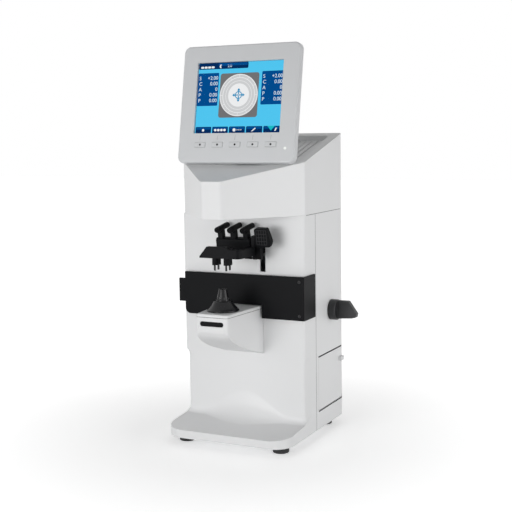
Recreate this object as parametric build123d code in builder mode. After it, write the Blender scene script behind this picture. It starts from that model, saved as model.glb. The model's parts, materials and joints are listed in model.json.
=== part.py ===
from build123d import *
import os
from math import atan, cos, degrees, pi, radians, sin, sqrt, tan

# Automatic lensmeter with a tilting display, a marking unit and a ticket printer.
# Millimetres. X runs to the right, the front faces -Y, Z runs up.
# X = 0 is the plane of symmetry, Y = 0 the front of the column, Z = 0 the table top.

# Body shell
body_width = 165.0
wall = 2.5
seat_gap = 0.3
slide_gap = 0.15
running_gap = 0.05
foot_height = 10.0
foot_radius = 10.0
column_corner_r = 4.0
seam_y = 34.0
rear_y = 122.0
rear_corner_r = 4.0
body_top_z = 280.0

# Scooped lower front and the foot that it runs into
scoop_setback = 2.7
scoop_side_inset = 2.7
scoop_crease_y = 21.0
scoop_top_z = 102.5
scoop_bevel = 5.5
foot_front_y = -59.0
foot_corner_r = 25.0
foot_front_top_z = 20.0
foot_middle_top_z = 25.2
foot_rear_top_z = 27.5
foot_blend_r = 8.0
scoop_height = 42.0
scoop_reach = 32.0
base_thickness = 1.6
base_inset = 0.4

# Hood over the lens table
nose_y = -78.0
nose_half_width = 13.4
nose_corner_r = 7.0
hood_shoulder_y = 5.0
hood_shoulder_r = 5.0
nose_top_z = 323.7
hood_bend_y = 0.0
hood_front_slope = 0.235
hood_rear_slope = 0.28
head_plate_thickness = 2.5
tray_side = 9.5
tray_front = 3.0
tray_rear_margin = 9.5
tray_depth = 6.0

# Optical axis, nosepiece and lens support stage
axis_y = -52.0
stage_front_y = -81.0
stage_front_half = 20.5
stage_rear_half = 27.4
stage_top_z = 170.0
stage_cover_thickness = 4.0
stage_chin_z = 149.0
stage_root_z = 110.0
stage_corner_r = 4.0
cone_radius = 19.3
cone_top_radius = 13.5
cone_height = 12.0
crown_radius = 8.0
crown_tip_radius = 4.8
crown_height = 14.0
crown_bore_radius = 4.0
crown_ribs = 8
light_bore_radius = 11.0

# Read button in the front of the stage
button_width = 30.0
button_height = 5.2
button_z = 158.5
button_proud = 0.8

# Lens holder, its four pins and its rails
holder_travel = 20.0
arm_x = 27.0
arm_width = 4.6
arm_low_z = 233.5
arm_high_z = 244.0
bar_high_z = 247.0
bar_front_y = -64.5
bar_rear_y = -57.8
finger_x = 7.6
finger_width = 7.2
finger_rear_y = -45.0
wing_tip_x = -23.5
wing_top_x = -14.0
pin_pitch_y = 9.1
pin_radius = 1.2
pin_head_radius = 1.8
pin_head_height = 1.4
pin_low_z = 218.0
pin_travel = 4.0
socket_low_z = 224.6
slot_x = 27.6
slot_width = 7.4
slot_clear = 2.5
rail_y = 20.0
rail_radius = 3.0
guide_rod_radius = 2.0
carriage_half_depth = 7.0
carriage_low_z = 229.0
carriage_high_z = 250.0
rail_spare = 7.0
rail_high_z = 264.0
rail_bracket_height = 6.0

# Marking unit with three pens, turned down through marker_swing degrees
marker_swing = 81.0
pen_pitch = 17.0
pen_radius = 3.5
pen_nib_radius = 1.0
pen_nib_length = 2.0
pen_length = 29.5
pen_mark_z = 221.0
pen_rest_y = -34.3
pen_rest_z = 262.9
marker_shaft_radius = 1.5
marker_hub_radius = 3.2
block_half_width = 22.5
block_near = 6.0
block_far = 22.0
block_low = -3.3
block_high = 8.5
handle_start_x = 30.0
handle_top_x = 46.0
handle_low_x = 51.0
handle_near = 13.0
handle_far = 35.5
handle_half_thickness = 3.8

# Spectacle table, driven by the side lever through a rack and pinion
table_travel = 24.0
table_front_y = -8.0
table_thickness = 4.0
table_low_z = 155.0
table_high_z = 207.6
table_left_inset = 5.5
table_side_gap = 0.4
table_skin = 2.2
table_return_y = 27.0
table_corner_r = 7.0
table_ear_reach = 8.5
table_ear_low_z = 170.0
table_ear_high_z = 199.0
table_notch_half = 29.0
table_notch_z = 171.2
table_arm_gap = 3.5
table_arm_width = 7.0
table_arm_height = 11.0
lever_y = 83.0
lever_z = 155.0
gear_module = 1.5
pinion_teeth = 16
pressure_angle = 20.0
tooth_backlash = 0.2
pinion_width = 4.0
lever_hub_radius = 13.0
lever_side_gap = 0.5
lever_hub_length = 9.5
lever_shaft_radius = 4.0
lever_bush_radius = 7.0
paddle_thickness = 7.0
paddle_top_reach = 14.5
paddle_low_reach = 25.5
paddle_root = 3.0
paddle_rise = 12.0
paddle_drop = 11.0
paddle_nose_z = (3.5, 8.0, 9.5)
paddle_nose_x = (0.0, 1.0, 6.0)

# Display
tilt = 10.3
screen_y = -4.5
screen_z = 421.0
screen_width = 115.2
screen_height = 86.4
display_half_width = 78.0
display_low = -79.5
display_high = 64.0
display_corner_r = 8.0
bezel_depth = 7.0
display_depth = 14.5
display_bulge_depth = 22.0
bezel_wall = 3.0
key_count = 5
key_pitch = 23.7
key_row = -57.2
key_width = 14.0
key_height = 6.0
key_proud = 0.6
key_travel = 0.7
led_x = 66.0
led_row = -61.8
led_radius = 1.6
hinge_row = -50.0
hinge_depth = 30.0
hinge_radius = 7.0
hinge_pin_radius = 3.0
knuckle_half_width = 8.5
ear_thickness = 5.0

# Ticket printer behind its door on the right side
door_front_y = 41.0
door_rear_y = 119.0
door_low_z = 33.0
door_high_z = 102.5
door_gap = 0.5
paper_slit = 1.8
door_pin_radius = 0.8
roll_radius = 22.0
roll_core_radius = 6.5
roll_width = 57.0
roll_side = 34.5
roll_z = 56.0

# Chassis and what it carries
chassis_side = 18.5
chassis_front_y = 36.0
chassis_depth = 64.0
chassis_sheet = 2.5
sensor_radius = 13.0
sensor_bore_radius = 9.0
board_thickness = 1.6
lamp_radius = 15.0

# Rear sockets
inlet_side = 34.5
inlet_z = 48.0
inlet_width = 27.0
inlet_height = 20.0
inlet_depth = 15.0
rocker_pitch = 34.0
rocker_width = 13.0
rocker_height = 19.0
port_pitch = 40.0
port_width = 31.0
port_height = 12.5
vent_count = 9
vent_pitch = 8.0
vent_width = 3.5
vent_length = 70.0
vent_low_z = 176.0

# Details shared by several pieces
wall_clearance = 0.8
lip_thickness = 1.6
lip_reach = 5.0
lip_height = 120.0
lip_mid_z = 200.0
door_boss = 4.0
rocker_frame = 2.0
foot_edge_r = 1.5
foot_inset = 18.5
foot_front_row_y = -32.0
foot_rear_row_y = 103.0
tray_corner_r = 6.0
bracket_width = 34.0
bracket_low_z = 146.0
bracket_high_z = 158.0
bracket_sheet = 3.0
bracket_front_y = -73.0
bracket_rib_length = 56.0
bracket_flange_width = 50.0
bracket_flange_height = 44.0
sensor_board_length = 40.0
sensor_chip = 2.0
cover_edge_r = 1.5
cone_rim = 1.5
window_radius = 6.0
window_thickness = 1.5
crown_collar = 1.6
crown_groove_radius = 1.6
button_edge_r = 0.6
chin_reach = 3.0
chin_drop = 5.5
belly_points = ((-65.0, 134.0), (-37.0, 122.0))
button_flange = 1.2
lamp_height = 29.5
lamp_cap = 4.0
lamp_fins = 4
lamp_fin_pitch = 5.0
lamp_fin = 1.5
optic_radius = 12.3
optic_stack = 6.5
lens_edge = 2.0
lens_dome = 3.0
lens_dome_angle = 60.0
lens_lip = 1.0
shelf_z = 104.0
shelf_sheet = 2.0
shelf_clear = 4.0
shelf_width = 59.0
shelf_side = 3.5
carriage_margin = 7.0
guide_rod_inset = 17.0
rail_floor = 2.0
arm_corner_r = 6.0
cheek_front_y = -25.0
cheek_rear_y = -13.0
cheek_high_z = 257.0
pivot_boss_radius = 3.6
pin_shoulder_z = 229.0
block_corner_r = 3.0
lug_near_x = 14.0
lug_floor = 1.5
post_width = 6.0
post_low = -2.0
post_high = 6.0
pen_tube_bore = 2.6
handle_lug = 6.0
handle_corner_r = 2.5
table_edge_r = 1.0
rack_addendum = 1.3
rack_width = 3.5
left_arm_rear_y = 60.0
guide_width = 13.5
guide_wall = 3.0
guide_front_y = 38.5
guide_rear_y = 50.0
flank_steps = 5
lever_cap = 2.0
lever_edge_r = 1.5
bush_flange = 1.5
bezel_edge_r = 2.5
back_chamfer = 5.0
bulge_half_width = 52.0
bulge_low = -62.0
bulge_high = 40.0
bulge_corner_r = 8.0
bulge_taper = 20.0
bulge_inset = 6.0
panel_rim = 4.0
panel_thickness = 3.2
glass_thickness = 1.8
key_clear = 0.2
key_flange = 1.1
key_edge_r = 0.4
key_post_radius = 2.0
key_spare = 0.4
key_board_height = 14.0
led_proud = 0.3
neck_clear = 0.6
wing_edge = 2.0
bar_shoulder = 4.4
bar_slope = 8.4
handle_bevel = 5.0
handle_step = 2.0
pin_end_wall = 1.0
door_pin_reach = 2.0
tab_proud = 4.0
tab_width = 10.0
tab_height = 5.0
tab_z = 86.5
mechanism_width = 44.0
mechanism_side = 4.5
mechanism_low_z = 88.0
platen_radius = 5.0
roll_y = 80.0
cradle_half_width = 24.0
cradle_high_z = 46.0
standoff = 3.0
board_hole_y = 4.0
board_hole_z = 5.0
chip = (4.0, 24.0, 24.0)
chip_y = -6.0
chip_z = 30.0
header = (6.0, 14.0, 40.0)
header_y = 10.0
header_z = -30.0
standoff_radius = 2.5
board_mid_z = 130.0
main_board_width = 56.0
main_board_height = 140.0
supply_side = 22.5
supply_gap = 14.0
supply_front_y = 45.0
supply_rear_y = 100.0
supply_height = 38.0
inlet_cavity = 12.5
blade_length = 7.5
blade_thickness = 2.0
blade_height = 4.0
blade_places = ((-7.0, -1.5), (0.0, 2.0), (7.0, -1.5))
inlet_rim_x = 2.3
inlet_rim_z = 2.8
flange_lap = 1.5
flange_sheet = 2.0
rocker_depth = 12.0
rocker_pivot_y = 118.0
rocker_pin_radius = 1.0
rocker_swing = 14.0
rocker_floor = 2.0
rocker_play = 0.5
rocker_back = 2.0
rocker_back_half = 4.0
rocker_shoulder = 0.5
rocker_crest = 3.4
rocker_dip = 2.4
port_depth = 8.0
port_mouth = 19.0
port_mouth_height = 8.0
port_mouth_angle = 80.0
port_mouth_r = 1.5
port_floor = 2.0
contact = 0.8
contact_pitch = 2.7
contact_row = 1.4
contact_count = 5

half_width = body_width / 2
chassis_half_width = half_width - chassis_side
foot_x_offset = half_width - foot_inset
tray_half_width = half_width - tray_side
table_left_x = table_left_inset - half_width
table_right_x = half_width + table_side_gap
table_ear_x = table_left_x - table_ear_reach
table_arm_x = chassis_half_width + table_arm_gap + table_arm_width / 2
lever_hub_start_x = half_width + lever_side_gap
lever_hub_end_x = lever_hub_start_x + lever_hub_length
paddle_top_x = lever_hub_end_x + paddle_top_reach
paddle_low_x = lever_hub_end_x + paddle_low_reach
guide_rod_x = chassis_half_width - guide_rod_inset
carriage_left_x = arm_x - arm_width / 2 - carriage_margin
carriage_right_x = guide_rod_x + carriage_margin
rail_low_z = carriage_low_z - holder_travel - rail_bracket_height - rail_spare
slot_low_z = arm_low_z - holder_travel - slot_clear
slot_high_z = arm_high_z + slot_clear
key_board_depth = bezel_wall + key_flange + key_travel + key_spare
roll_x = half_width - roll_side
shelf_far_x = half_width - shelf_side
shelf_near_x = shelf_far_x - shelf_width
mechanism_far_x = half_width - mechanism_side
mechanism_near_x = mechanism_far_x - mechanism_width
supply_left_x = supply_side - half_width
supply_right_x = roll_x - cradle_half_width - supply_gap
inlet_x = inlet_side - half_width
rocker_x = inlet_x + rocker_pitch
port_x = rocker_x + port_pitch
base_z = foot_height
pitch_radius = gear_module * pinion_teeth / 2
arm_bottom_z = lever_z + pitch_radius + 1.25 * gear_module
arm_mid_z = arm_bottom_z + table_arm_height / 2
door_axis_x = half_width - wall / 2
door_axis_z = door_low_z + door_gap + wall / 2
lean = radians(tilt)
hinge_y = screen_y + hinge_row * sin(lean) + hinge_depth * cos(lean)
hinge_z = screen_z + hinge_row * cos(lean) - hinge_depth * sin(lean)
neck_half_width = knuckle_half_width + ear_thickness + seat_gap
neck_depth = 2 * hinge_radius + 2
neck_y = hinge_y + 1
screen_front = Axis((0, 0, 0), (0, -cos(lean), sin(lean)))
step_z = scoop_top_z + scoop_bevel
stage_split_z = stage_top_z - stage_cover_thickness
lamp_window_z = body_top_z + head_plate_thickness

os.makedirs("parts", exist_ok=True)


def finish(builder, name):
    """Label one finished piece and write its file."""
    builder.part.label = name
    export_step(builder.part, f"parts/{name}.step")


def side_plane(x):
    """Plane across the body at x: local x runs to the rear and local y runs up."""
    return Plane(origin=(x, 0, 0), x_dir=(0, 1, 0), z_dir=(1, 0, 0))


def front_plane(y):
    """Plane that faces the front at y: local x runs to the right and local y runs up."""
    return Plane(origin=(0, y, 0), x_dir=(1, 0, 0), z_dir=(0, -1, 0))


def foot_top(y):
    """Height of the foot's gently arched top at y."""
    span = (y - foot_front_y) / (seam_y - foot_front_y)
    bow = 4 * span * (1 - span) * (foot_middle_top_z - (foot_front_top_z + foot_rear_top_z) / 2)
    return foot_front_top_z + span * (foot_rear_top_z - foot_front_top_z) + bow


def hood_top(y):
    """Height of the hood's two sloping top planes at y."""
    bend_z = nose_top_z + (hood_bend_y - nose_y) * hood_front_slope
    slope = hood_front_slope if y < hood_bend_y else hood_rear_slope
    return bend_z + (y - hood_bend_y) * slope


# Front shell: column, bevelled step, scooped lower front and foot in one moulding
def column_plan(z, inset, setback, past_crease=False):
    """Plan of the column at height z, with its front set back and its sides drawn in.

    The drawn-in sides end at the crease, or run on past it to the seam."""
    slant = inset / (scoop_crease_y - setback)
    corner = half_width - inset
    with BuildSketch(Plane.XY.offset(z)) as plan:
        with BuildLine():
            if past_crease:
                rear_half = half_width + slant * (seam_y - scoop_crease_y)
                Polyline(
                    (-rear_half, seam_y),
                    (-corner, setback),
                    (corner, setback),
                    (rear_half, seam_y),
                    close=True,
                )
            else:
                Polyline(
                    (-half_width, seam_y),
                    (-half_width, scoop_crease_y),
                    (-corner, setback),
                    (corner, setback),
                    (half_width, scoop_crease_y),
                    (half_width, seam_y),
                    close=True,
                )
        make_face()
        fillet(plan.vertices().group_by(Axis.Y)[0], column_corner_r)
    return plan.sketch


def foot_plan(z, inset=0.0):
    """Plan of the foot, straight at the rear seam and rounded at its front corners."""
    depth = seam_y - foot_front_y
    with BuildSketch(Plane.XY.offset(z)) as plan:
        with Locations((0, (seam_y + foot_front_y + inset) / 2)):
            Rectangle(body_width - 2 * inset, depth - inset)
        fillet(plan.vertices().group_by(Axis.Y)[0], foot_corner_r - inset)
    return plan.sketch


def foot_side(drop, front):
    """Side profile of the foot, its top lowered by drop and its front edge at front."""
    middle = (seam_y + front) / 2
    with BuildSketch(side_plane(0)) as profile:
        with BuildLine():
            top_front = (front, foot_top(front) - drop)
            ThreePointArc(top_front, (middle, foot_top(middle) - drop), (seam_y, foot_top(seam_y) - drop))
            Polyline((seam_y, foot_top(seam_y) - drop), (seam_y, base_z), (front, base_z), top_front)
        make_face()
    return profile.sketch


def scoop_section(x, share):
    """Section at x of the sweep from the column into the foot, full size where share is 1."""
    sunk = 0.2
    rise = foot_blend_r + share * (scoop_height - foot_blend_r)
    reach = foot_blend_r + share * (scoop_reach - foot_blend_r)
    root_z = foot_top(scoop_setback)
    toe_y = scoop_setback - reach
    upper = (scoop_setback + sunk, root_z + rise)
    toe = (toe_y, foot_top(toe_y) - sunk)
    with BuildSketch(side_plane(x)) as section:
        with BuildLine():
            Bezier(upper, (scoop_setback, root_z), toe)
            Polyline(
                toe,
                (toe_y, base_z + wall),
                (scoop_setback + wall, base_z + wall),
                (scoop_setback + wall, root_z + rise),
                upper,
            )
        make_face()
    return section.sketch


oversize = 30.0
scoop_half = half_width - scoop_side_inset - column_corner_r - foot_blend_r
scoop_steps = 2
with BuildPart() as foot_hollow:
    extrude(foot_side(wall, foot_front_y), amount=half_width, both=True)
    extrude(foot_plan(base_z, wall), amount=foot_rear_top_z, mode=Mode.INTERSECT)

with BuildPart() as front_shell:
    extrude(foot_side(0, foot_front_y), amount=half_width + oversize, both=True)
    extrude(
        column_plan(foot_front_top_z, scoop_side_inset, scoop_setback, past_crease=True),
        amount=scoop_top_z - foot_front_top_z,
    )
    fillet(
        front_shell.edges().filter_by(
            lambda e: abs(e.center().X) < half_width + 2
            and scoop_setback - 1 < e.center().Y < seam_y - 1
            and foot_front_top_z + 2 < e.center().Z < foot_rear_top_z + 2
        ),
        foot_blend_r,
    )
    extrude(foot_plan(base_z), amount=scoop_top_z - base_z, mode=Mode.INTERSECT)
    loft(
        [
            scoop_section(
                scoop_half * step / scoop_steps,
                cos(pi / 2 * step / scoop_steps) ** 2,
            )
            for step in range(-scoop_steps, scoop_steps + 1)
        ]
    )
    loft(
        [
            column_plan(scoop_top_z, scoop_side_inset, scoop_setback),
            column_plan(step_z, 0, 0),
        ]
    )
    extrude(column_plan(step_z, 0, 0), amount=body_top_z - step_z)
    # hollow of the foot, the lower column and the upper column
    add(foot_hollow.part, mode=Mode.SUBTRACT)
    with BuildSketch(Plane.XY.offset(base_z)):
        with Locations((0, (scoop_setback + wall + seam_y) / 2)):
            Rectangle(
                body_width - 2 * (scoop_side_inset + wall),
                seam_y - scoop_setback - wall,
            )
    extrude(amount=step_z - base_z, mode=Mode.SUBTRACT)
    with BuildSketch(Plane.XY.offset(step_z)):
        with Locations((0, (wall + seam_y) / 2)):
            Rectangle(body_width - 2 * wall, seam_y - wall)
    extrude(amount=body_top_z - step_z, mode=Mode.SUBTRACT)
    # openings in the front wall: holder slot, two table arms, stage bracket
    with BuildSketch(front_plane(-1)):
        with Locations((slot_x, (slot_low_z + slot_high_z) / 2)):
            Rectangle(slot_width, slot_high_z - slot_low_z)
        with Locations((-table_arm_x, arm_mid_z), (table_arm_x, arm_mid_z)):
            Rectangle(table_arm_width + 2 * wall_clearance, table_arm_height + 2 * wall_clearance)
        with Locations((0, (bracket_low_z + bracket_high_z) / 2)):
            Rectangle(
                bracket_width + 2 * wall_clearance,
                bracket_high_z - bracket_low_z + 2 * wall_clearance,
            )
    extrude(amount=-(wall + 2), mode=Mode.SUBTRACT)
finish(front_shell, "front_shell")


# Rear cover: back and side walls with the printer door, lever, socket and vent openings
with BuildPart() as rear_cover:
    cover_depth = rear_y - seam_y
    with BuildSketch(Plane.XY.offset(base_z)) as cover_plan:
        with Locations((0, (seam_y + rear_y) / 2)):
            Rectangle(body_width, cover_depth)
        fillet(cover_plan.vertices().group_by(Axis.Y)[-1], rear_corner_r)
    extrude(amount=body_top_z - base_z)
    with BuildSketch(Plane.XY.offset(base_z)):
        with Locations((0, (seam_y + rear_y - wall) / 2)):
            Rectangle(body_width - 2 * wall, cover_depth - wall)
    extrude(amount=body_top_z - base_z, mode=Mode.SUBTRACT)
    # lip that steps behind the front shell along the seam
    for side in (-1, 1):
        with Locations((side * (half_width - wall - lip_thickness / 2 - seat_gap / 2), seam_y, lip_mid_z)):
            Box(lip_thickness, 2 * lip_reach, lip_height)
        with Locations((side * (half_width - wall - lip_thickness / 2), seam_y + lip_reach, lip_mid_z)):
            Box(lip_thickness, lip_reach, lip_height)
    # printer door opening with a hinge boss at each end
    with BuildSketch(side_plane(half_width + 1)):
        with Locations(((door_front_y + door_rear_y) / 2, (door_low_z + door_high_z) / 2)):
            Rectangle(door_rear_y - door_front_y, door_high_z - door_low_z)
    extrude(amount=-(wall + 2), mode=Mode.SUBTRACT)
    with Locations((door_axis_x - 1, door_front_y - door_boss / 2, door_axis_z)):
        Box(wall + 1, door_boss, door_boss)
    with Locations((door_axis_x - 1, (door_rear_y + rear_y - 1) / 2, door_axis_z)):
        Box(wall + 1, rear_y - 1 - door_rear_y, door_boss)
    with BuildSketch(Plane(origin=(0, rear_y - wall / 2, 0), x_dir=(1, 0, 0), z_dir=(0, -1, 0))):
        with Locations((door_axis_x, door_axis_z)):
            Circle(door_pin_radius + running_gap)
    extrude(amount=rear_y - wall / 2 - door_front_y + door_boss * 0.7, mode=Mode.SUBTRACT)
    # lever bush
    with BuildSketch(side_plane(half_width + 1)):
        with Locations((lever_y, lever_z)):
            Circle(lever_bush_radius)
    extrude(amount=-(wall + 2), mode=Mode.SUBTRACT)
    # sockets and vents in the back wall
    with BuildSketch(front_plane(rear_y + 1)):
        with Locations((inlet_x, inlet_z)):
            Rectangle(inlet_width, inlet_height)
        with Locations((rocker_x, inlet_z)):
            Rectangle(rocker_width + 2 * rocker_frame, rocker_height + 2 * rocker_frame)
        with Locations((port_x, inlet_z)):
            Rectangle(port_width, port_height)
        with Locations((0, vent_low_z + (vent_count - 1) * vent_pitch / 2)):
            with GridLocations(0, vent_pitch, 1, vent_count):
                SlotOverall(vent_length, vent_width)
    extrude(amount=wall + 2, mode=Mode.SUBTRACT)
finish(rear_cover, "rear_cover")


# Base plate that closes the underside, with the four feet under it
with BuildPart() as base_plate:
    plate_inset = wall + base_inset
    plate_depth = rear_y - foot_front_y - 2 * plate_inset
    with BuildSketch(Plane.XY.offset(base_z)) as plate_plan:
        with Locations((0, (rear_y + foot_front_y) / 2)):
            Rectangle(body_width - 2 * (plate_inset + scoop_side_inset), plate_depth)
        fillet(plate_plan.vertices().group_by(Axis.Y)[0], foot_corner_r - plate_inset)
    extrude(amount=base_thickness)
finish(base_plate, "base_plate")

with BuildPart() as rubber_feet:
    for foot_x in (-foot_x_offset, foot_x_offset):
        for foot_y in (foot_front_row_y, foot_rear_row_y):
            with BuildSketch(Plane((foot_x, foot_y, 0))):
                Circle(foot_radius)
            extrude(amount=foot_height)
    fillet(rubber_feet.edges().group_by(Axis.Z)[0], foot_edge_r)
finish(rubber_feet, "rubber_feet")


# Hood: a folded cover with a pointed nose, two roof slopes and a window for the tray
def hood_plan(z, inset=0.0):
    """Plan of the hood, its nose to the front, drawn in all round by inset."""
    with BuildSketch(Plane.XY.offset(z)) as plan:
        with BuildLine():
            Polyline(
                (-half_width, rear_y),
                (-half_width, hood_shoulder_y),
                (-nose_half_width, nose_y),
                (nose_half_width, nose_y),
                (half_width, hood_shoulder_y),
                (half_width, rear_y),
                close=True,
            )
        make_face()
        corners = plan.vertices().group_by(Axis.Y)
        fillet(corners[0], nose_corner_r)
        fillet(
            plan.vertices().filter_by(lambda v: v.Y > hood_shoulder_y - 1 and v.Y < rear_y - 1),
            hood_shoulder_r,
        )
        fillet(plan.vertices().group_by(Axis.Y)[-1], rear_corner_r)
        if inset:
            offset(amount=-inset, mode=Mode.REPLACE)
    return plan.sketch


def hood_side(drop):
    """Side profile of everything below the hood's roof, lowered by drop."""
    overhang = 5
    with BuildSketch(side_plane(0)) as profile:
        with BuildLine():
            Polyline(
                (nose_y - overhang, body_top_z - overhang),
                (nose_y - overhang, hood_top(nose_y - overhang) - drop),
                (hood_bend_y, hood_top(hood_bend_y) - drop),
                (rear_y + overhang, hood_top(rear_y + overhang) - drop),
                (rear_y + overhang, body_top_z - overhang),
                close=True,
            )
        make_face()
    return profile.sketch


with BuildPart() as hood_hollow:
    extrude(hood_plan(body_top_z, wall), amount=hood_top(rear_y) - body_top_z)
    extrude(hood_side(wall), amount=half_width, both=True, mode=Mode.INTERSECT)

roof_angle = degrees(atan(hood_rear_slope))
roof = Plane(
    origin=(0, hood_bend_y, hood_top(hood_bend_y)),
    x_dir=(1, 0, 0),
    z_dir=(0, -sin(radians(roof_angle)), cos(radians(roof_angle))),
)
roof_length = (rear_y - hood_bend_y) / cos(radians(roof_angle))
tray_length = roof_length - tray_front - tray_rear_margin
tray_middle = tray_front + tray_length / 2

with BuildPart() as hood_cover:
    extrude(hood_plan(body_top_z), amount=hood_top(rear_y) - body_top_z)
    extrude(hood_side(0), amount=half_width, both=True, mode=Mode.INTERSECT)
    add(hood_hollow.part, mode=Mode.SUBTRACT)
    with BuildSketch(roof.offset(wall)):
        with Locations((0, tray_middle)):
            RectangleRounded(2 * tray_half_width, tray_length, tray_corner_r)
    extrude(amount=-(4 * wall), mode=Mode.SUBTRACT)
finish(hood_cover, "hood_cover")

# Tray let into the hood's roof behind the display, with a hole for the neck
with BuildPart() as top_tray:
    with BuildSketch(roof.offset(-tray_depth - wall)):
        with Locations((0, tray_middle)):
            RectangleRounded(
                2 * (tray_half_width - seat_gap),
                tray_length - 2 * seat_gap,
                tray_corner_r - seat_gap,
            )
    extrude(amount=tray_depth + wall)
    with BuildSketch(roof.offset(-tray_depth)):
        with Locations((0, tray_middle)):
            RectangleRounded(
                2 * (tray_half_width - seat_gap - wall),
                tray_length - 2 * (seat_gap + wall),
                tray_corner_r - seat_gap,
            )
    extrude(amount=tray_depth + wall, mode=Mode.SUBTRACT)
    with BuildSketch(Plane.XY.offset(body_top_z)):
        with Locations((0, neck_y)):
            Rectangle(2 * (neck_half_width + 1), neck_depth + 2)
    extrude(amount=hood_top(rear_y) - body_top_z, mode=Mode.SUBTRACT)
finish(top_tray, "top_tray")

# Head plate: the floor of the hood, with the lamp's window over the optical axis
with BuildPart() as head_plate:
    extrude(hood_plan(body_top_z, wall + seat_gap), amount=head_plate_thickness)
    with Locations((0, axis_y, body_top_z + head_plate_thickness)):
        Hole(light_bore_radius)
finish(head_plate, "head_plate")


# Lens support stage: belly housing, flat cover, bracket and the measuring optics
def stage_plan(z, inset=0.0):
    """Plan of the stage, wider at the column, drawn in by inset except at the column."""
    with BuildSketch(Plane.XY.offset(z)) as plan:
        with BuildLine():
            Polyline(
                (-stage_rear_half + inset, 0),
                (-stage_front_half + inset, stage_front_y + inset),
                (stage_front_half - inset, stage_front_y + inset),
                (stage_rear_half - inset, 0),
                close=True,
            )
        make_face()
        fillet(plan.vertices().group_by(Axis.Y)[0], stage_corner_r - inset * 0.8)
    return plan.sketch


def stage_side(rise, inset):
    """Side profile of the stage's belly, raised by rise and drawn in at the front by inset."""
    with BuildSketch(side_plane(0)) as profile:
        with BuildLine():
            Polyline(
                (0, stage_root_z + rise),
                (0, stage_top_z),
                (stage_front_y + inset, stage_top_z),
                (stage_front_y + inset, stage_chin_z + rise),
            )
            Spline(
                (stage_front_y + inset, stage_chin_z + rise),
                (stage_front_y + inset + chin_reach, stage_chin_z + rise - chin_drop),
                *[(y, z + rise) for y, z in belly_points],
                (0, stage_root_z + rise),
            )
        make_face()
    return profile.sketch


with BuildPart() as stage_hollow:
    extrude(stage_plan(stage_root_z, wall), amount=stage_top_z - stage_root_z)
    extrude(stage_side(wall, wall), amount=half_width, both=True, mode=Mode.INTERSECT)

with BuildPart() as stage_housing:
    extrude(stage_plan(stage_root_z), amount=stage_split_z - stage_root_z)
    extrude(stage_side(0, 0), amount=half_width, both=True, mode=Mode.INTERSECT)
    add(stage_hollow.part, mode=Mode.SUBTRACT)
    with BuildSketch(front_plane(stage_front_y - 1)):
        with Locations((0, button_z)):
            RectangleRounded(
                button_width + 2 * seat_gap,
                button_height + 2 * seat_gap,
                button_height / 2,
            )
    extrude(amount=-(wall + 1.5), mode=Mode.SUBTRACT)
finish(stage_housing, "stage_housing")

with BuildPart() as stage_cover:
    extrude(stage_plan(stage_split_z), amount=stage_cover_thickness)
    fillet(
        stage_cover.edges().group_by(Axis.Z)[-1].filter_by(lambda e: e.center().Y < -1),
        cover_edge_r,
    )
    with Locations((0, axis_y, stage_top_z)):
        Hole(light_bore_radius)
finish(stage_cover, "stage_cover")

with BuildPart() as stage_bracket:
    bracket_length = chassis_front_y - bracket_front_y
    with Locations((0, chassis_front_y - bracket_length / 2, bracket_low_z + bracket_sheet / 2)):
        Box(bracket_width, bracket_length, bracket_sheet)
    for side in (-1, 1):
        with Locations(
            (
                side * (bracket_width - bracket_sheet) / 2,
                chassis_front_y - bracket_rib_length / 2,
                (bracket_low_z + bracket_high_z) / 2,
            )
        ):
            Box(bracket_sheet, bracket_rib_length, bracket_high_z - bracket_low_z)
    with Locations((0, chassis_front_y - bracket_sheet / 2, bracket_low_z)):
        Box(bracket_flange_width, bracket_sheet, bracket_flange_height)
finish(stage_bracket, "stage_bracket")

board_z = bracket_low_z + bracket_sheet
with BuildPart() as sensor_board:
    with Locations((0, axis_y, board_z + board_thickness / 2)):
        Box(bracket_width - 4, sensor_board_length, board_thickness)
    with Locations((0, axis_y, board_z + board_thickness + sensor_chip / 2)):
        Box(2 * sensor_bore_radius * 0.7, 2 * sensor_bore_radius * 0.7, sensor_chip)
finish(sensor_board, "sensor_board")

with BuildPart() as sensor_tube:
    with BuildSketch(Plane((0, axis_y, board_z + board_thickness))):
        Circle(sensor_radius)
        Circle(sensor_bore_radius, mode=Mode.SUBTRACT)
    extrude(amount=stage_split_z - board_z - board_thickness)
finish(sensor_tube, "sensor_tube")

with BuildPart() as nosepiece_cone:
    with BuildSketch(Plane.XZ.offset(-axis_y)):
        with BuildLine():
            Polyline(
                (sensor_bore_radius, stage_top_z),
                (cone_radius, stage_top_z),
                (cone_radius - 0.6, stage_top_z + cone_rim),
                (cone_top_radius + 0.8, stage_top_z + cone_height - 0.8),
                (cone_top_radius, stage_top_z + cone_height),
                (window_radius + seat_gap, stage_top_z + cone_height),
                (window_radius + seat_gap, stage_top_z + cone_height - window_thickness),
                (window_radius - 1.2, stage_top_z + cone_height - window_thickness),
                (window_radius - 1.2, stage_top_z + cone_height - 4),
                close=True,
            )
        make_face()
    revolve(axis=Axis((0, axis_y, 0), (0, 0, 1)))
finish(nosepiece_cone, "nosepiece_cone")

with BuildPart() as measuring_window:
    with Locations((0, axis_y, stage_top_z + cone_height - window_thickness / 2)):
        Cylinder(window_radius, window_thickness)
finish(measuring_window, "measuring_window")

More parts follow.
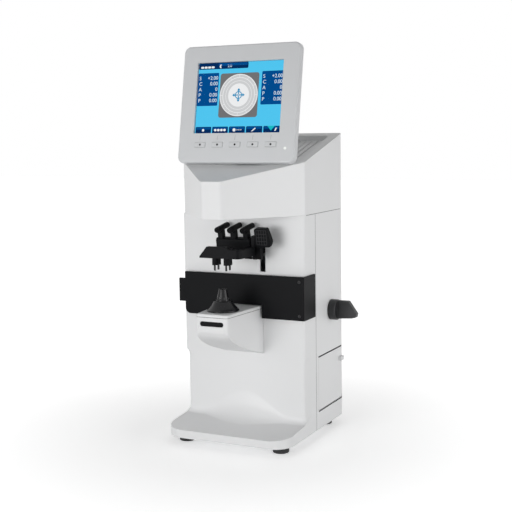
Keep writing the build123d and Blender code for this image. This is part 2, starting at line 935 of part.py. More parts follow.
crown_z = stage_top_z + cone_height
with BuildPart() as nosepiece_crown:
    with BuildSketch(Plane((0, axis_y, crown_z))):
        Circle(crown_radius)
    with BuildSketch(Plane((0, axis_y, crown_z + crown_height))):
        Circle(crown_tip_radius)
    loft()
    with BuildSketch(Plane((0, axis_y, crown_z))):
        Circle(crown_radius + 0.6)
    extrude(amount=crown_collar)
    for rib in range(crown_ribs):
        turn = rib * 2 * pi / crown_ribs
        groove_x = (crown_radius + 0.4) * cos(turn)
        groove_y = axis_y + (crown_radius + 0.4) * sin(turn)
        with BuildSketch(Plane((groove_x, groove_y, crown_z + crown_collar))):
            Circle(crown_groove_radius)
        extrude(amount=crown_height, mode=Mode.SUBTRACT)
    with Locations((0, axis_y, crown_z + crown_height)):
        Hole(crown_bore_radius)
finish(nosepiece_crown, "nosepiece_crown")

with BuildPart() as read_button:
    with BuildSketch(front_plane(stage_front_y + wall)):
        with Locations((0, button_z)):
            RectangleRounded(button_width, button_height, button_height / 2 - 0.01)
    extrude(amount=wall + button_proud)
    fillet(read_button.edges().group_by(Axis.Y)[0], button_edge_r)
    with BuildSketch(front_plane(stage_front_y + wall + running_gap)):
        with Locations((0, button_z)):
            RectangleRounded(
                button_width + 2 * button_flange,
                button_height + 2 * button_flange,
                button_height / 2,
            )
    extrude(amount=-button_flange)
    with BuildSketch(front_plane(stage_front_y + wall + running_gap)):
        with Locations((0, button_z)):
            RectangleRounded(button_width, button_height, button_height / 2 - 0.01)
    extrude(amount=running_gap)
finish(read_button, "read_button")


# Lamp over the axis, inside the hood, with its window and lens
with BuildPart() as lamp_housing:
    with Locations((0, axis_y, lamp_window_z + lamp_height / 2)):
        Cylinder(lamp_radius, lamp_height)
        with Locations((0, 0, -lamp_height / 2 + optic_stack / 2)):
            Cylinder(optic_radius + seat_gap, optic_stack, mode=Mode.SUBTRACT)
        with Locations((0, 0, -lamp_cap / 2)):
            Cylinder(sensor_bore_radius, lamp_height - lamp_cap, mode=Mode.SUBTRACT)
    for fin in range(lamp_fins):
        with Locations((0, axis_y, lamp_window_z + optic_stack + 4 + fin * lamp_fin_pitch)):
            Cylinder(lamp_radius + 3, lamp_fin)
            Cylinder(lamp_radius - 1, lamp_fin, mode=Mode.SUBTRACT)
finish(lamp_housing, "lamp_housing")

with BuildPart() as lamp_optics:
    # flat window on the head plate and the domed collimating lens above it
    with Locations((0, axis_y, lamp_window_z + window_thickness / 2)):
        Cylinder(optic_radius, window_thickness)
    lens_z = lamp_window_z + window_thickness
    with Locations((0, axis_y, lens_z + lens_edge / 2)):
        Cylinder(optic_radius, lens_edge)
    with BuildSketch(Plane((0, axis_y, lens_z + lens_edge))):
        Circle(optic_radius - lens_lip)
    extrude(amount=lens_dome, taper=lens_dome_angle)
finish(lamp_optics, "lamp_optics")


# Chassis frame: a web across the body, two side flanges and the printer shelf
chassis_low_z = base_z + base_thickness
chassis_rear_y = chassis_front_y + chassis_depth
with BuildPart() as chassis_frame:
    chassis_height = body_top_z - chassis_low_z
    with Locations((0, chassis_front_y + chassis_sheet / 2, chassis_low_z + chassis_height / 2)):
        Box(2 * chassis_half_width, chassis_sheet, chassis_height)
    with Locations(
        (
            -chassis_half_width + chassis_sheet / 2,
            chassis_front_y + chassis_depth / 2,
            chassis_low_z + chassis_height / 2,
        )
    ):
        Box(chassis_sheet, chassis_depth, chassis_height)
    with Locations(
        (
            chassis_half_width - chassis_sheet / 2,
            chassis_front_y + chassis_depth / 2,
            (shelf_z + shelf_clear + body_top_z) / 2,
        )
    ):
        Box(chassis_sheet, chassis_depth, body_top_z - shelf_z - shelf_clear)
    with Locations(
        ((shelf_near_x + shelf_far_x) / 2, chassis_front_y + chassis_depth / 2, shelf_z + shelf_sheet / 2)
    ):
        Box(shelf_far_x - shelf_near_x, chassis_depth, shelf_sheet)
    with BuildSketch(side_plane(chassis_half_width + 1)):
        with Locations((lever_y, lever_z)):
            Circle(lever_shaft_radius + running_gap)
    extrude(amount=-(chassis_sheet + 2), mode=Mode.SUBTRACT)
finish(chassis_frame, "chassis_frame")


# Holder rails, their brackets, the carriage and the arm that reaches out to the axis
with BuildPart() as rail_brackets:
    for bracket_z in (rail_low_z, rail_high_z - rail_bracket_height):
        with Locations(
            (
                (carriage_left_x + carriage_right_x) / 2,
                (rail_y - carriage_half_depth + chassis_front_y) / 2,
                bracket_z + rail_bracket_height / 2,
            )
        ):
            Box(
                carriage_right_x - carriage_left_x,
                chassis_front_y - rail_y + carriage_half_depth,
                rail_bracket_height,
            )
    for rod_x, rod_r in ((slot_x, rail_radius), (guide_rod_x, guide_rod_radius)):
        with BuildSketch(Plane((rod_x, rail_y, rail_low_z + rail_floor))):
            Circle(rod_r + running_gap)
        extrude(amount=rail_high_z - rail_low_z - 2 * rail_floor, mode=Mode.SUBTRACT)
finish(rail_brackets, "rail_brackets")

with BuildPart() as holder_rails:
    for rod_x, rod_r in ((slot_x, rail_radius), (guide_rod_x, guide_rod_radius)):
        with BuildSketch(Plane((rod_x, rail_y, rail_low_z + rail_floor))):
            Circle(rod_r)
        extrude(amount=rail_high_z - rail_low_z - 2 * rail_floor)
finish(holder_rails, "holder_rails")

with BuildPart() as holder_carriage:
    with Locations(
        ((carriage_left_x + carriage_right_x) / 2, rail_y, (carriage_low_z + carriage_high_z) / 2)
    ):
        Box(
            carriage_right_x - carriage_left_x,
            2 * carriage_half_depth,
            carriage_high_z - carriage_low_z,
        )
    for rod_x, rod_r in ((slot_x, rail_radius), (guide_rod_x, guide_rod_radius)):
        with BuildSketch(Plane((rod_x, rail_y, carriage_low_z))):
            Circle(rod_r + running_gap)
        extrude(amount=carriage_high_z - carriage_low_z, mode=Mode.SUBTRACT)
finish(holder_carriage, "holder_carriage")

# marking pivot, found from where the nibs rest and where they mark
swing = radians(marker_swing)
nib_rise = pen_rest_z - pen_mark_z
nib_reach = pen_rest_y - axis_y
pivot_share = 1 / (2 * tan(swing / 2))
pivot_y = (axis_y + pen_rest_y) / 2 + nib_rise * pivot_share
pivot_z = (pen_mark_z + pen_rest_z) / 2 - nib_reach * pivot_share
arm_near_x = arm_x - arm_width / 2
arm_far_x = arm_x + arm_width / 2

with BuildPart() as holder_arm:
    # straight arm that runs out through the slot
    with Locations(
        (arm_x, (rail_y - carriage_half_depth + bar_front_y) / 2, (arm_low_z + arm_high_z) / 2)
    ):
        Box(arm_width, rail_y - carriage_half_depth - bar_front_y, arm_high_z - arm_low_z)
    # front bar with its raised middle and sloping left end
    with BuildSketch(front_plane(bar_rear_y)):
        with BuildLine():
            Polyline(
                (wing_tip_x, arm_low_z),
                (wing_tip_x, arm_low_z + wing_edge),
                (wing_top_x, bar_high_z),
                (finger_x + bar_shoulder, bar_high_z),
                (finger_x + bar_slope, arm_high_z),
                (arm_far_x, arm_high_z),
                (arm_far_x, arm_low_z),
                close=True,
            )
        make_face()
    extrude(amount=bar_rear_y - bar_front_y)
    fillet(
        holder_arm.edges().filter_by(Axis.Z).filter_by(
            lambda e: e.center().X > arm_far_x - 1 and e.center().Y < bar_rear_y
        ),
        arm_corner_r,
    )
    # two fingers over the pin sockets
    for side in (-1, 1):
        with Locations((side * finger_x, (bar_rear_y + finger_rear_y) / 2, (arm_low_z + arm_high_z) / 2)):
            Box(finger_width, finger_rear_y - bar_rear_y, arm_high_z - arm_low_z)
    # cheek plate with the pivot boss of the marking unit
    with BuildSketch(side_plane(arm_near_x)):
        with Locations(((cheek_front_y + cheek_rear_y) / 2, (arm_low_z + cheek_high_z) / 2)):
            Rectangle(cheek_rear_y - cheek_front_y, cheek_high_z - arm_low_z)
        with Locations((pivot_y, pivot_z)):
            Circle(pivot_boss_radius)
    extrude(amount=arm_width)
    with BuildSketch(side_plane(arm_near_x - 1)):
        with Locations((pivot_y, pivot_z)):
            Circle(marker_shaft_radius + running_gap)
    extrude(amount=arm_width + 2, mode=Mode.SUBTRACT)
    for side in (-1, 1):
        for step in (-1, 1):
            with BuildSketch(Plane((side * finger_x, axis_y + step * pin_pitch_y / 2, arm_low_z - 1))):
                Circle(pin_head_radius + seat_gap)
            extrude(
                amount=pin_shoulder_z + pin_head_height + pin_travel + 2 - arm_low_z,
                mode=Mode.SUBTRACT,
            )
finish(holder_arm, "holder_arm")

with BuildPart() as pin_sockets:
    for side in (-1, 1):
        with BuildSketch(Plane((side * finger_x, axis_y, socket_low_z))):
            SlotOverall(2 * (finger_rear_y - axis_y), finger_width, rotation=90)
        extrude(amount=arm_low_z - socket_low_z)
        for step in (-1, 1):
            with BuildSketch(Plane((side * finger_x, axis_y + step * pin_pitch_y / 2, socket_low_z))):
                Circle(pin_radius + running_gap)
            extrude(amount=arm_low_z - socket_low_z, mode=Mode.SUBTRACT)
            with BuildSketch(Plane((side * finger_x, axis_y + step * pin_pitch_y / 2, pin_shoulder_z))):
                Circle(pin_head_radius + seat_gap)
            extrude(amount=arm_low_z - pin_shoulder_z, mode=Mode.SUBTRACT)
finish(pin_sockets, "pin_sockets")


def holder_pin(x, y):
    """One sprung holder pin at x and y, its head resting on the socket's shoulder."""
    with BuildPart() as pin:
        with BuildSketch(Plane((x, y, pin_low_z))):
            Circle(pin_radius)
        extrude(amount=pin_shoulder_z - pin_low_z)
        fillet(pin.edges().group_by(Axis.Z)[0], pin_radius * 0.6)
        with BuildSketch(Plane((x, y, pin_shoulder_z))):
            Circle(pin_head_radius)
        extrude(amount=pin_head_height)
    return pin


pin_places = [(side, step) for side in (-1, 1) for step in (-1, 1)]
for index, (side, step) in enumerate(pin_places):
    pin_part = holder_pin(side * finger_x, axis_y + step * pin_pitch_y / 2)
    finish(pin_part, f"holder_pin_{index + 1}")


# Marking unit, drawn in the frame of its marking pose and turned up to rest
def marker_side(x):
    """Plane across the marking unit at x, its local axes those of the marking pose."""
    return Plane(origin=(x, pivot_y, pivot_z), x_dir=(0, cos(swing), -sin(swing)), z_dir=(1, 0, 0))


marker_face = Plane(
    origin=(0, pivot_y, pivot_z),
    x_dir=(1, 0, 0),
    z_dir=(0, sin(swing), cos(swing)),
)
pen_y = axis_y - pivot_y
nib_z = pen_mark_z - pivot_z

with BuildPart() as marker_block:
    with BuildSketch(marker_side(-block_half_width)):
        with Locations((-(block_near + block_far) / 2, (block_low + block_high) / 2)):
            RectangleRounded(block_far - block_near, block_high - block_low, block_corner_r)
    extrude(amount=2 * block_half_width)
    # hub and lug on the shaft
    with BuildSketch(marker_side(lug_near_x)):
        Circle(marker_hub_radius)
        with Locations((-block_near / 2 - 0.5, 0)):
            Rectangle(block_near + 1, 2 * marker_hub_radius)
    extrude(amount=block_half_width - lug_near_x)
    with BuildSketch(marker_side(lug_near_x + lug_floor)):
        Circle(marker_shaft_radius + running_gap)
    extrude(amount=block_half_width, mode=Mode.SUBTRACT)
    # posts that carry the pen tubes
    for pen in (-1, 0, 1):
        with BuildSketch(marker_side(pen * pen_pitch - post_width / 2)):
            with Locations(((pen_y - block_far) / 2, (post_low + post_high) / 2)):
                Rectangle(-pen_y - block_far + 1, post_high - post_low)
        extrude(amount=post_width)
        with BuildSketch(marker_face.offset(post_low)):
            with Locations((pen * pen_pitch, pen_y)):
                Circle(pen_radius)
        extrude(amount=post_high - post_low)
        with BuildSketch(marker_face.offset(nib_z)):
            with Locations((pen * pen_pitch, pen_y)):
                Circle(pen_tube_bore)
        extrude(amount=pen_length, mode=Mode.SUBTRACT)
finish(marker_block, "marker_block")

with BuildPart() as marker_pens:
    for pen in (-1, 0, 1):
        with BuildSketch(marker_face.offset(nib_z + pen_nib_length)):
            with Locations((pen * pen_pitch, pen_y)):
                Circle(pen_tube_bore - seat_gap)
        extrude(amount=pen_length - pen_nib_length)
        with BuildSketch(marker_face.offset(nib_z + pen_nib_length)):
            with Locations((pen * pen_pitch, pen_y)):
                Circle(pen_radius)
        extrude(amount=post_low - nib_z - pen_nib_length)
        with BuildSketch(marker_face.offset(post_high)):
            with Locations((pen * pen_pitch, pen_y)):
                Circle(pen_radius)
        extrude(amount=pen_length + nib_z - post_high)
        with BuildSketch(marker_face.offset(nib_z + pen_nib_length)):
            with Locations((pen * pen_pitch, pen_y)):
                Circle(pen_nib_radius)
        extrude(amount=-pen_nib_length)
finish(marker_pens, "marker_pens")

with BuildPart() as marker_handle:
    with BuildSketch(marker_face):
        with BuildLine():
            Polyline(
                (handle_start_x, -handle_near),
                (handle_start_x, -handle_far),
                (handle_top_x, -handle_far),
                (handle_low_x, -(handle_near + handle_bevel)),
                (handle_low_x - handle_step, -handle_near),
                close=True,
            )
        make_face()
    extrude(amount=handle_half_thickness, both=True)
    fillet(
        marker_handle.edges().filter_by(lambda e: e.length < 2 * handle_half_thickness + 0.1),
        handle_corner_r,
    )
    with BuildSketch(marker_side(handle_start_x)):
        Circle(marker_hub_radius)
        with Locations((-handle_near / 2 - 0.5, 0)):
            Rectangle(handle_near + 1, 2 * marker_hub_radius)
    extrude(amount=handle_lug)
    with BuildSketch(marker_side(handle_start_x)):
        Circle(marker_shaft_radius + running_gap)
    extrude(amount=handle_lug - lug_floor, mode=Mode.SUBTRACT)
finish(marker_handle, "marker_handle")

with BuildPart() as marker_shaft:
    with BuildSketch(side_plane(lug_near_x + lug_floor)):
        with Locations((pivot_y, pivot_z)):
            Circle(marker_shaft_radius)
    extrude(amount=handle_start_x + handle_lug - lug_near_x - 2 * lug_floor)
finish(marker_shaft, "marker_shaft")


# Spectacle table, its arms with the rack, and the guides on the chassis
with BuildPart() as table_plate:
    with BuildSketch(front_plane(table_front_y + table_thickness)) as table_face:
        with Locations(((table_left_x + table_right_x + table_skin) / 2, (table_low_z + table_high_z) / 2)):
            Rectangle(table_right_x + table_skin - table_left_x, table_high_z - table_low_z)
        fillet(table_face.vertices().group_by(Axis.X)[0].sort_by(Axis.Y)[0], table_corner_r)
        with Locations(((table_ear_x + table_left_x) / 2, (table_ear_low_z + table_ear_high_z) / 2)):
            Rectangle(table_left_x - table_ear_x, table_ear_high_z - table_ear_low_z)
        with Locations((0, (table_low_z + table_notch_z) / 2)):
            Rectangle(2 * table_notch_half, table_notch_z - table_low_z, mode=Mode.SUBTRACT)
    extrude(amount=table_thickness)
    fillet(table_plate.edges().group_by(Axis.Y)[0], table_edge_r)
    with Locations(
        (
            table_right_x + table_skin / 2,
            (table_front_y + table_thickness + table_return_y) / 2,
            (table_low_z + table_high_z) / 2,
        )
    ):
        Box(table_skin, table_return_y - table_front_y - table_thickness, table_high_z - table_low_z)
finish(table_plate, "table_plate")

table_rear_y = table_front_y + table_thickness
tooth_pitch = pi * gear_module
rack_start = lever_y - tooth_pitch * 1.5
rack_teeth = int((table_travel + 3 * tooth_pitch) / tooth_pitch)


def rack_tooth(y):
    """Side profile of one rack tooth that hangs from the arm at y."""
    half_tooth = tooth_pitch / 4 - tooth_backlash / 4
    slope = tan(radians(pressure_angle))
    root = half_tooth + 1.25 * gear_module * slope
    tip = half_tooth - rack_addendum * slope
    with BuildSketch(side_plane(table_arm_x - rack_width / 2)) as tooth:
        with BuildLine():
            Polyline(
                (y - root, arm_bottom_z + 0.2),
                (y - root, arm_bottom_z),
                (y - tip, lever_z + pitch_radius - rack_addendum),
                (y + tip, lever_z + pitch_radius - rack_addendum),
                (y + root, arm_bottom_z),
                (y + root, arm_bottom_z + 0.2),
                close=True,
            )
        make_face()
    return tooth.sketch


with BuildPart() as table_arms:
    for side, reach in ((-1, left_arm_rear_y), (1, lever_y + table_travel + tooth_pitch)):
        with Locations((side * table_arm_x, (table_rear_y + reach) / 2, arm_mid_z)):
            Box(table_arm_width, reach - table_rear_y, table_arm_height)
    for tooth in range(rack_teeth):
        extrude(rack_tooth(rack_start + tooth * tooth_pitch), amount=rack_width)
finish(table_arms, "table_arms")

with BuildPart() as table_guides:
    for side in (-1, 1):
        with Locations(
            (
                side * (chassis_half_width + guide_width / 2),
                (guide_front_y + guide_rear_y) / 2,
                arm_mid_z,
            )
        ):
            Box(guide_width, guide_rear_y - guide_front_y, table_arm_height + 2 * guide_wall)
        with Locations((side * table_arm_x, (guide_front_y + guide_rear_y) / 2, arm_mid_z)):
            Box(
                table_arm_width + 2 * slide_gap,
                guide_rear_y - guide_front_y,
                table_arm_height + 2 * slide_gap,
                mode=Mode.SUBTRACT,
            )
finish(table_guides, "table_guides")


# Side lever: shaft with its pinion, knob with the paddle, and the bush in the wall
def involute(angle):
    """Involute function of an angle in radians."""
    return tan(angle) - angle


def pinion_profile(x):
    """Outline of the pinion at x, one tooth centred straight up."""
    base_radius = pitch_radius * cos(radians(pressure_angle))
    tip_radius = pitch_radius + gear_module
    root_radius = pitch_radius - 1.25 * gear_module
    half_tooth = (tooth_pitch / 4 - tooth_backlash / 4) / pitch_radius + involute(radians(pressure_angle))
    flank = [(root_radius, half_tooth)]
    for step in range(flank_steps + 1):
        radius = base_radius + (tip_radius - base_radius) * step / flank_steps
        roll = sqrt(max((radius / base_radius) ** 2 - 1, 0))
        flank.append((radius, half_tooth - (roll - atan(roll))))
    points = []
    for tooth in range(pinion_teeth):
        middle = pi / 2 - tooth * 2 * pi / pinion_teeth
        for radius, spread in flank:
            points.append((radius * cos(middle + spread), radius * sin(middle + spread)))
        for radius, spread in reversed(flank):
            points.append((radius * cos(middle - spread), radius * sin(middle - spread)))
    with BuildSketch(side_plane(x)) as profile:
        with Locations((lever_y, lever_z)):
            with BuildLine():
                Polyline(*[(lever_y + py, lever_z + pz) for py, pz in points], close=True)
        make_face()
    return profile.sketch


with BuildPart() as lever_shaft:
    with BuildSketch(side_plane(chassis_half_width - chassis_sheet)):
        with Locations((lever_y, lever_z)):
            Circle(lever_shaft_radius)
    extrude(amount=lever_hub_end_x - lever_cap - chassis_half_width + chassis_sheet)
    extrude(pinion_profile(table_arm_x - pinion_width / 2), amount=pinion_width)
finish(lever_shaft, "lever_shaft")

with BuildPart() as lever_knob:
    with BuildSketch(side_plane(lever_hub_start_x)):
        with Locations((lever_y, lever_z)):
            Circle(lever_hub_radius)
    extrude(amount=lever_hub_end_x - lever_hub_start_x)
    fillet(lever_knob.edges().group_by(Axis.X)[-1], lever_edge_r)
    with BuildSketch(front_plane(lever_y)):
        with BuildLine():
            Polyline(
                (lever_hub_end_x - paddle_root, lever_z - paddle_drop),
                (lever_hub_end_x - paddle_root, lever_z + paddle_rise),
                (paddle_top_x, lever_z + paddle_rise),
                *[(paddle_low_x - x, lever_z - z) for x, z in zip(paddle_nose_x, paddle_nose_z)],
                close=True,
            )
        make_face()
    extrude(amount=paddle_thickness / 2, both=True)
    with BuildSketch(side_plane(lever_hub_start_x)):
        with Locations((lever_y, lever_z)):
            Circle(lever_shaft_radius + running_gap)
    extrude(amount=lever_hub_end_x - lever_cap - lever_hub_start_x, mode=Mode.SUBTRACT)
finish(lever_knob, "lever_knob")

with BuildPart() as lever_bush:
    with BuildSketch(side_plane(half_width)):
        with Locations((lever_y, lever_z)):
            Circle(lever_bush_radius - slide_gap)
    extrude(amount=-wall)
    with BuildSketch(side_plane(half_width - wall)):
        with Locations((lever_y, lever_z)):
            Circle(lever_bush_radius + 2)
    extrude(amount=-bush_flange)
    with BuildSketch(side_plane(half_width)):
        with Locations((lever_y, lever_z)):
            Circle(lever_shaft_radius + running_gap)
    extrude(amount=-(wall + bush_flange), mode=Mode.SUBTRACT)
finish(lever_bush, "lever_bush")


# Display: bezel, back cover with the hinge knuckle, panel, glass, keys and lamp
screen_plane = Plane(
    origin=(0, screen_y, screen_z),
    x_dir=(1, 0, 0),
    z_dir=(0, -cos(lean), sin(lean)),
)
display_mid = (display_high + display_low) / 2
display_height = display_high - display_low


def display_outline(depth, inset):
    """Rounded outline of the display at a depth behind its face, drawn in by inset."""
    with BuildSketch(screen_plane.offset(-depth)) as outline:
        with Locations((0, display_mid)):
            RectangleRounded(
                2 * (display_half_width - inset),
                display_height - 2 * inset,
                display_corner_r - inset * 0.8,
            )
    return outline.sketch


with BuildPart() as display_bezel:
    extrude(display_outline(bezel_depth, 0), amount=bezel_depth)
    fillet(display_bezel.faces().sort_by(screen_front)[-1].edges(), bezel_edge_r)
    extrude(display_outline(bezel_depth, bezel_wall), amount=bezel_depth - bezel_wall, mode=Mode.SUBTRACT)
    with BuildSketch(screen_plane.offset(1)):
        Rectangle(screen_width, screen_height)
        with Locations((0, key_row)):
            with GridLocations(key_pitch, 1, key_count, 1):
                Rectangle(key_width + 2 * key_clear, key_height + 2 * key_clear)
        with Locations((led_x, led_row)):
            Circle(led_radius + slide_gap)
    extrude(amount=-(bezel_wall + 2), mode=Mode.SUBTRACT)
    with BuildSketch(screen_plane.offset(-bezel_wall)):
        with Locations((0, key_row)):
            with GridLocations(key_pitch, 1, key_count + 1, 1):
                Circle(key_post_radius)
    extrude(amount=-(key_board_depth - bezel_wall))
finish(display_bezel, "display_bezel")

with BuildPart() as display_back:
    extrude(display_outline(display_depth, 0), amount=display_depth - bezel_depth)
    back_face = display_back.faces().sort_by(Axis((0, 0, 0), (0, -cos(lean), sin(lean))))[0]
    chamfer(back_face.edges(), back_chamfer)
    extrude(
        display_outline(display_depth - wall, wall),
        amount=display_depth - wall - bezel_depth,
        mode=Mode.SUBTRACT,
    )
    with BuildSketch(screen_plane.offset(-display_depth)):
        with Locations((0, (bulge_high + bulge_low) / 2)):
            RectangleRounded(2 * bulge_half_width, bulge_high - bulge_low, bulge_corner_r)
    extrude(amount=-(display_bulge_depth - display_depth), taper=bulge_taper)
    with BuildSketch(screen_plane.offset(-display_depth + wall)):
        with Locations((0, (bulge_high + bulge_low) / 2)):
            RectangleRounded(
                2 * (bulge_half_width - bulge_inset),
                bulge_high - bulge_low - 2 * bulge_inset,
                bulge_corner_r - 2,
            )
    extrude(amount=-(display_bulge_depth - display_depth), mode=Mode.SUBTRACT)
    # hinge knuckle
    with BuildSketch(Plane(origin=(0, hinge_y, hinge_z), x_dir=(0, cos(lean), -sin(lean)), z_dir=(1, 0, 0))):
        Circle(hinge_radius)
        with Locations((-(hinge_depth - display_bulge_depth) / 2, 0)):
            Rectangle(hinge_depth - display_bulge_depth + 1, 2 * hinge_radius)
    extrude(amount=knuckle_half_width, both=True)
    with BuildSketch(side_plane(0)):
        with Locations((hinge_y, hinge_z)):
            Circle(hinge_pin_radius + running_gap)
    extrude(amount=half_width, both=True, mode=Mode.SUBTRACT)
finish(display_back, "display_back")

with BuildPart() as lcd_panel:
    with BuildSketch(screen_plane.offset(-bezel_wall)):
        Rectangle(screen_width + 2 * panel_rim, screen_height + 2 * panel_rim)
    extrude(amount=-panel_thickness)
finish(lcd_panel, "lcd_panel")

with BuildPart() as screen_glass:
    with BuildSketch(screen_plane.offset(-bezel_wall)):
        Rectangle(screen_width - 2 * seat_gap, screen_height - 2 * seat_gap)
    extrude(amount=glass_thickness)
finish(screen_glass, "screen_glass")

with BuildPart() as key_board:
    with BuildSketch(screen_plane.offset(-key_board_depth)):
        with Locations((0, (key_row + led_row) / 2)):
            Rectangle(2 * (led_x + 4), key_board_height)
    extrude(amount=-board_thickness)
finish(key_board, "key_board")

with BuildPart() as power_led:
    with BuildSketch(screen_plane.offset(-key_board_depth)):
        with Locations((led_x, led_row)):
            Circle(led_radius)
    extrude(amount=key_board_depth + led_proud)
finish(power_led, "power_led")


def soft_key(x):
    """One soft key at x, with the flange that holds it behind the bezel."""
    with BuildPart() as key:
        with BuildSketch(screen_plane.offset(-bezel_wall - running_gap)):
            with Locations((x, key_row)):
                Rectangle(key_width, key_height)
        extrude(amount=bezel_wall + running_gap + key_proud)
        face = key.faces().sort_by(Axis((0, 0, 0), (0, -cos(lean), sin(lean))))[-1]
        fillet(face.edges(), key_edge_r)
        with BuildSketch(screen_plane.offset(-bezel_wall - running_gap)):
            with Locations((x, key_row)):
                Rectangle(key_width + 2 * key_flange, key_height + 2 * key_flange)
        extrude(amount=-key_flange)
    return key


for index in range(key_count):
    key_part = soft_key((index - (key_count - 1) / 2) * key_pitch)
    finish(key_part, f"soft_key_{index + 1}")

# Neck that carries the display on a hinge pin
with BuildPart() as monitor_neck:
    neck_low_z = body_top_z + head_plate_thickness
    neck_high_z = hinge_z - hinge_radius - neck_clear
    with Locations((0, hinge_y, (neck_low_z + neck_high_z) / 2)):
        Box(2 * neck_half_width, 2 * hinge_radius, neck_high_z - neck_low_z)
    for side in (-1, 1):
        with BuildSketch(side_plane(side * (neck_half_width - ear_thickness / 2))):
            with Locations((hinge_y, hinge_z)):
                Circle(hinge_radius)
            with Locations((hinge_y, (neck_high_z + hinge_z) / 2 - 1)):
                Rectangle(2 * hinge_radius, hinge_z - neck_high_z + 2)
        extrude(amount=ear_thickness / 2, both=True)
    with BuildSketch(side_plane(0)):
        with Locations((hinge_y, hinge_z)):
            Circle(hinge_pin_radius + running_gap)
    extrude(amount=neck_half_width - pin_end_wall, both=True, mode=Mode.SUBTRACT)
finish(monitor_neck, "monitor_neck")

with BuildPart() as hinge_pin:
    with BuildSketch(side_plane(0)):
        with Locations((hinge_y, hinge_z)):
            Circle(hinge_pin_radius)
    extrude(amount=neck_half_width - pin_end_wall, both=True)
finish(hinge_pin, "hinge_pin")


# Ticket printer: door, mechanism under the shelf, paper roll and its cradle
with BuildPart() as printer_door:
    door_top_z = door_high_z - paper_slit
    with BuildSketch(front_plane(door_front_y + door_gap)):
        with Locations((door_axis_x, (door_axis_z + door_top_z) / 2)):
            Rectangle(wall, door_top_z - door_axis_z)
        with Locations((door_axis_x, door_axis_z)):
            Circle(wall / 2)
    extrude(amount=-(door_rear_y - door_front_y - 2 * door_gap))
    with BuildSketch(front_plane(door_front_y + door_gap)):
        with Locations((door_axis_x, door_axis_z)):
            Circle(door_pin_radius)
    extrude(amount=door_pin_reach + door_gap)
    with BuildSketch(front_plane(door_rear_y - door_gap)):
        with Locations((door_axis_x, door_axis_z)):
            Circle(door_pin_radius)
    extrude(amount=-(door_gap + door_pin_reach / 2))
    with Locations((half_width + tab_proud / 2, door_rear_y - tab_width / 2 - 2, tab_z)):
        Box(tab_proud, tab_width, tab_height)
finish(printer_door, "printer_door")

with BuildPart() as printer_mechanism:
    with Locations(
        (
            (mechanism_near_x + mechanism_far_x) / 2,
            (chassis_front_y + chassis_rear_y) / 2,
            (mechanism_low_z + shelf_z) / 2,
        )
    ):
        Box(mechanism_far_x - mechanism_near_x, roll_width, shelf_z - mechanism_low_z)
    with BuildSketch(front_plane((chassis_front_y + chassis_rear_y) / 2)):
        with Locations((mechanism_far_x - 4, mechanism_low_z)):
            Circle(platen_radius)
    extrude(amount=roll_width / 2 - 2, both=True)
finish(printer_mechanism, "printer_mechanism")

with BuildPart() as paper_roll:
    with BuildSketch(front_plane(roll_y)):
        with Locations((roll_x, roll_z)):
            Circle(roll_radius)
            Circle(roll_core_radius, mode=Mode.SUBTRACT)
    extrude(amount=roll_width / 2, both=True)
finish(paper_roll, "paper_roll")

with BuildPart() as paper_cradle:
    cradle_low_z = base_z + base_thickness
    with BuildSketch(front_plane(roll_y)):
        with Locations((roll_x, (cradle_low_z + cradle_high_z) / 2)):
            Rectangle(2 * cradle_half_width, cradle_high_z - cradle_low_z)
        with Locations((roll_x, roll_z)):
            Circle(roll_radius + running_gap, mode=Mode.SUBTRACT)
    extrude(amount=roll_width / 2 - 4, both=True)
finish(paper_cradle, "paper_cradle")


# Boards, supply and the sockets in the back wall
with BuildPart() as mainboard:
    board_x = -chassis_half_width + chassis_sheet + standoff
    board_y = (chassis_front_y + chassis_rear_y) / 2
    with Locations((board_x + board_thickness / 2, board_y, board_mid_z)):
        Box(board_thickness, main_board_width, main_board_height)
        with Locations(((board_thickness + chip[0]) / 2, chip_y, chip_z)):
            Box(*chip)
        with Locations(((board_thickness + header[0]) / 2, header_y, header_z)):
            Box(*header)
    for dy in (-1, 1):
        for dz in (-1, 1):
            hole_y = board_y + dy * (main_board_width / 2 - board_hole_y)
            hole_z = board_mid_z + dz * (main_board_height / 2 - board_hole_z)
            with BuildSketch(side_plane(board_x - standoff)):
                with Locations((hole_y, hole_z)):
                    Circle(standoff_radius)
            extrude(amount=standoff)
finish(mainboard, "mainboard")

with BuildPart() as power_supply:
    with Locations(
        (
            (supply_left_x + supply_right_x) / 2,
            (supply_front_y + supply_rear_y) / 2,
            base_z + base_thickness + supply_height / 2,
        )
    ):
        Box(supply_right_x - supply_left_x, supply_rear_y - supply_front_y, supply_height)
finish(power_supply, "power_supply")

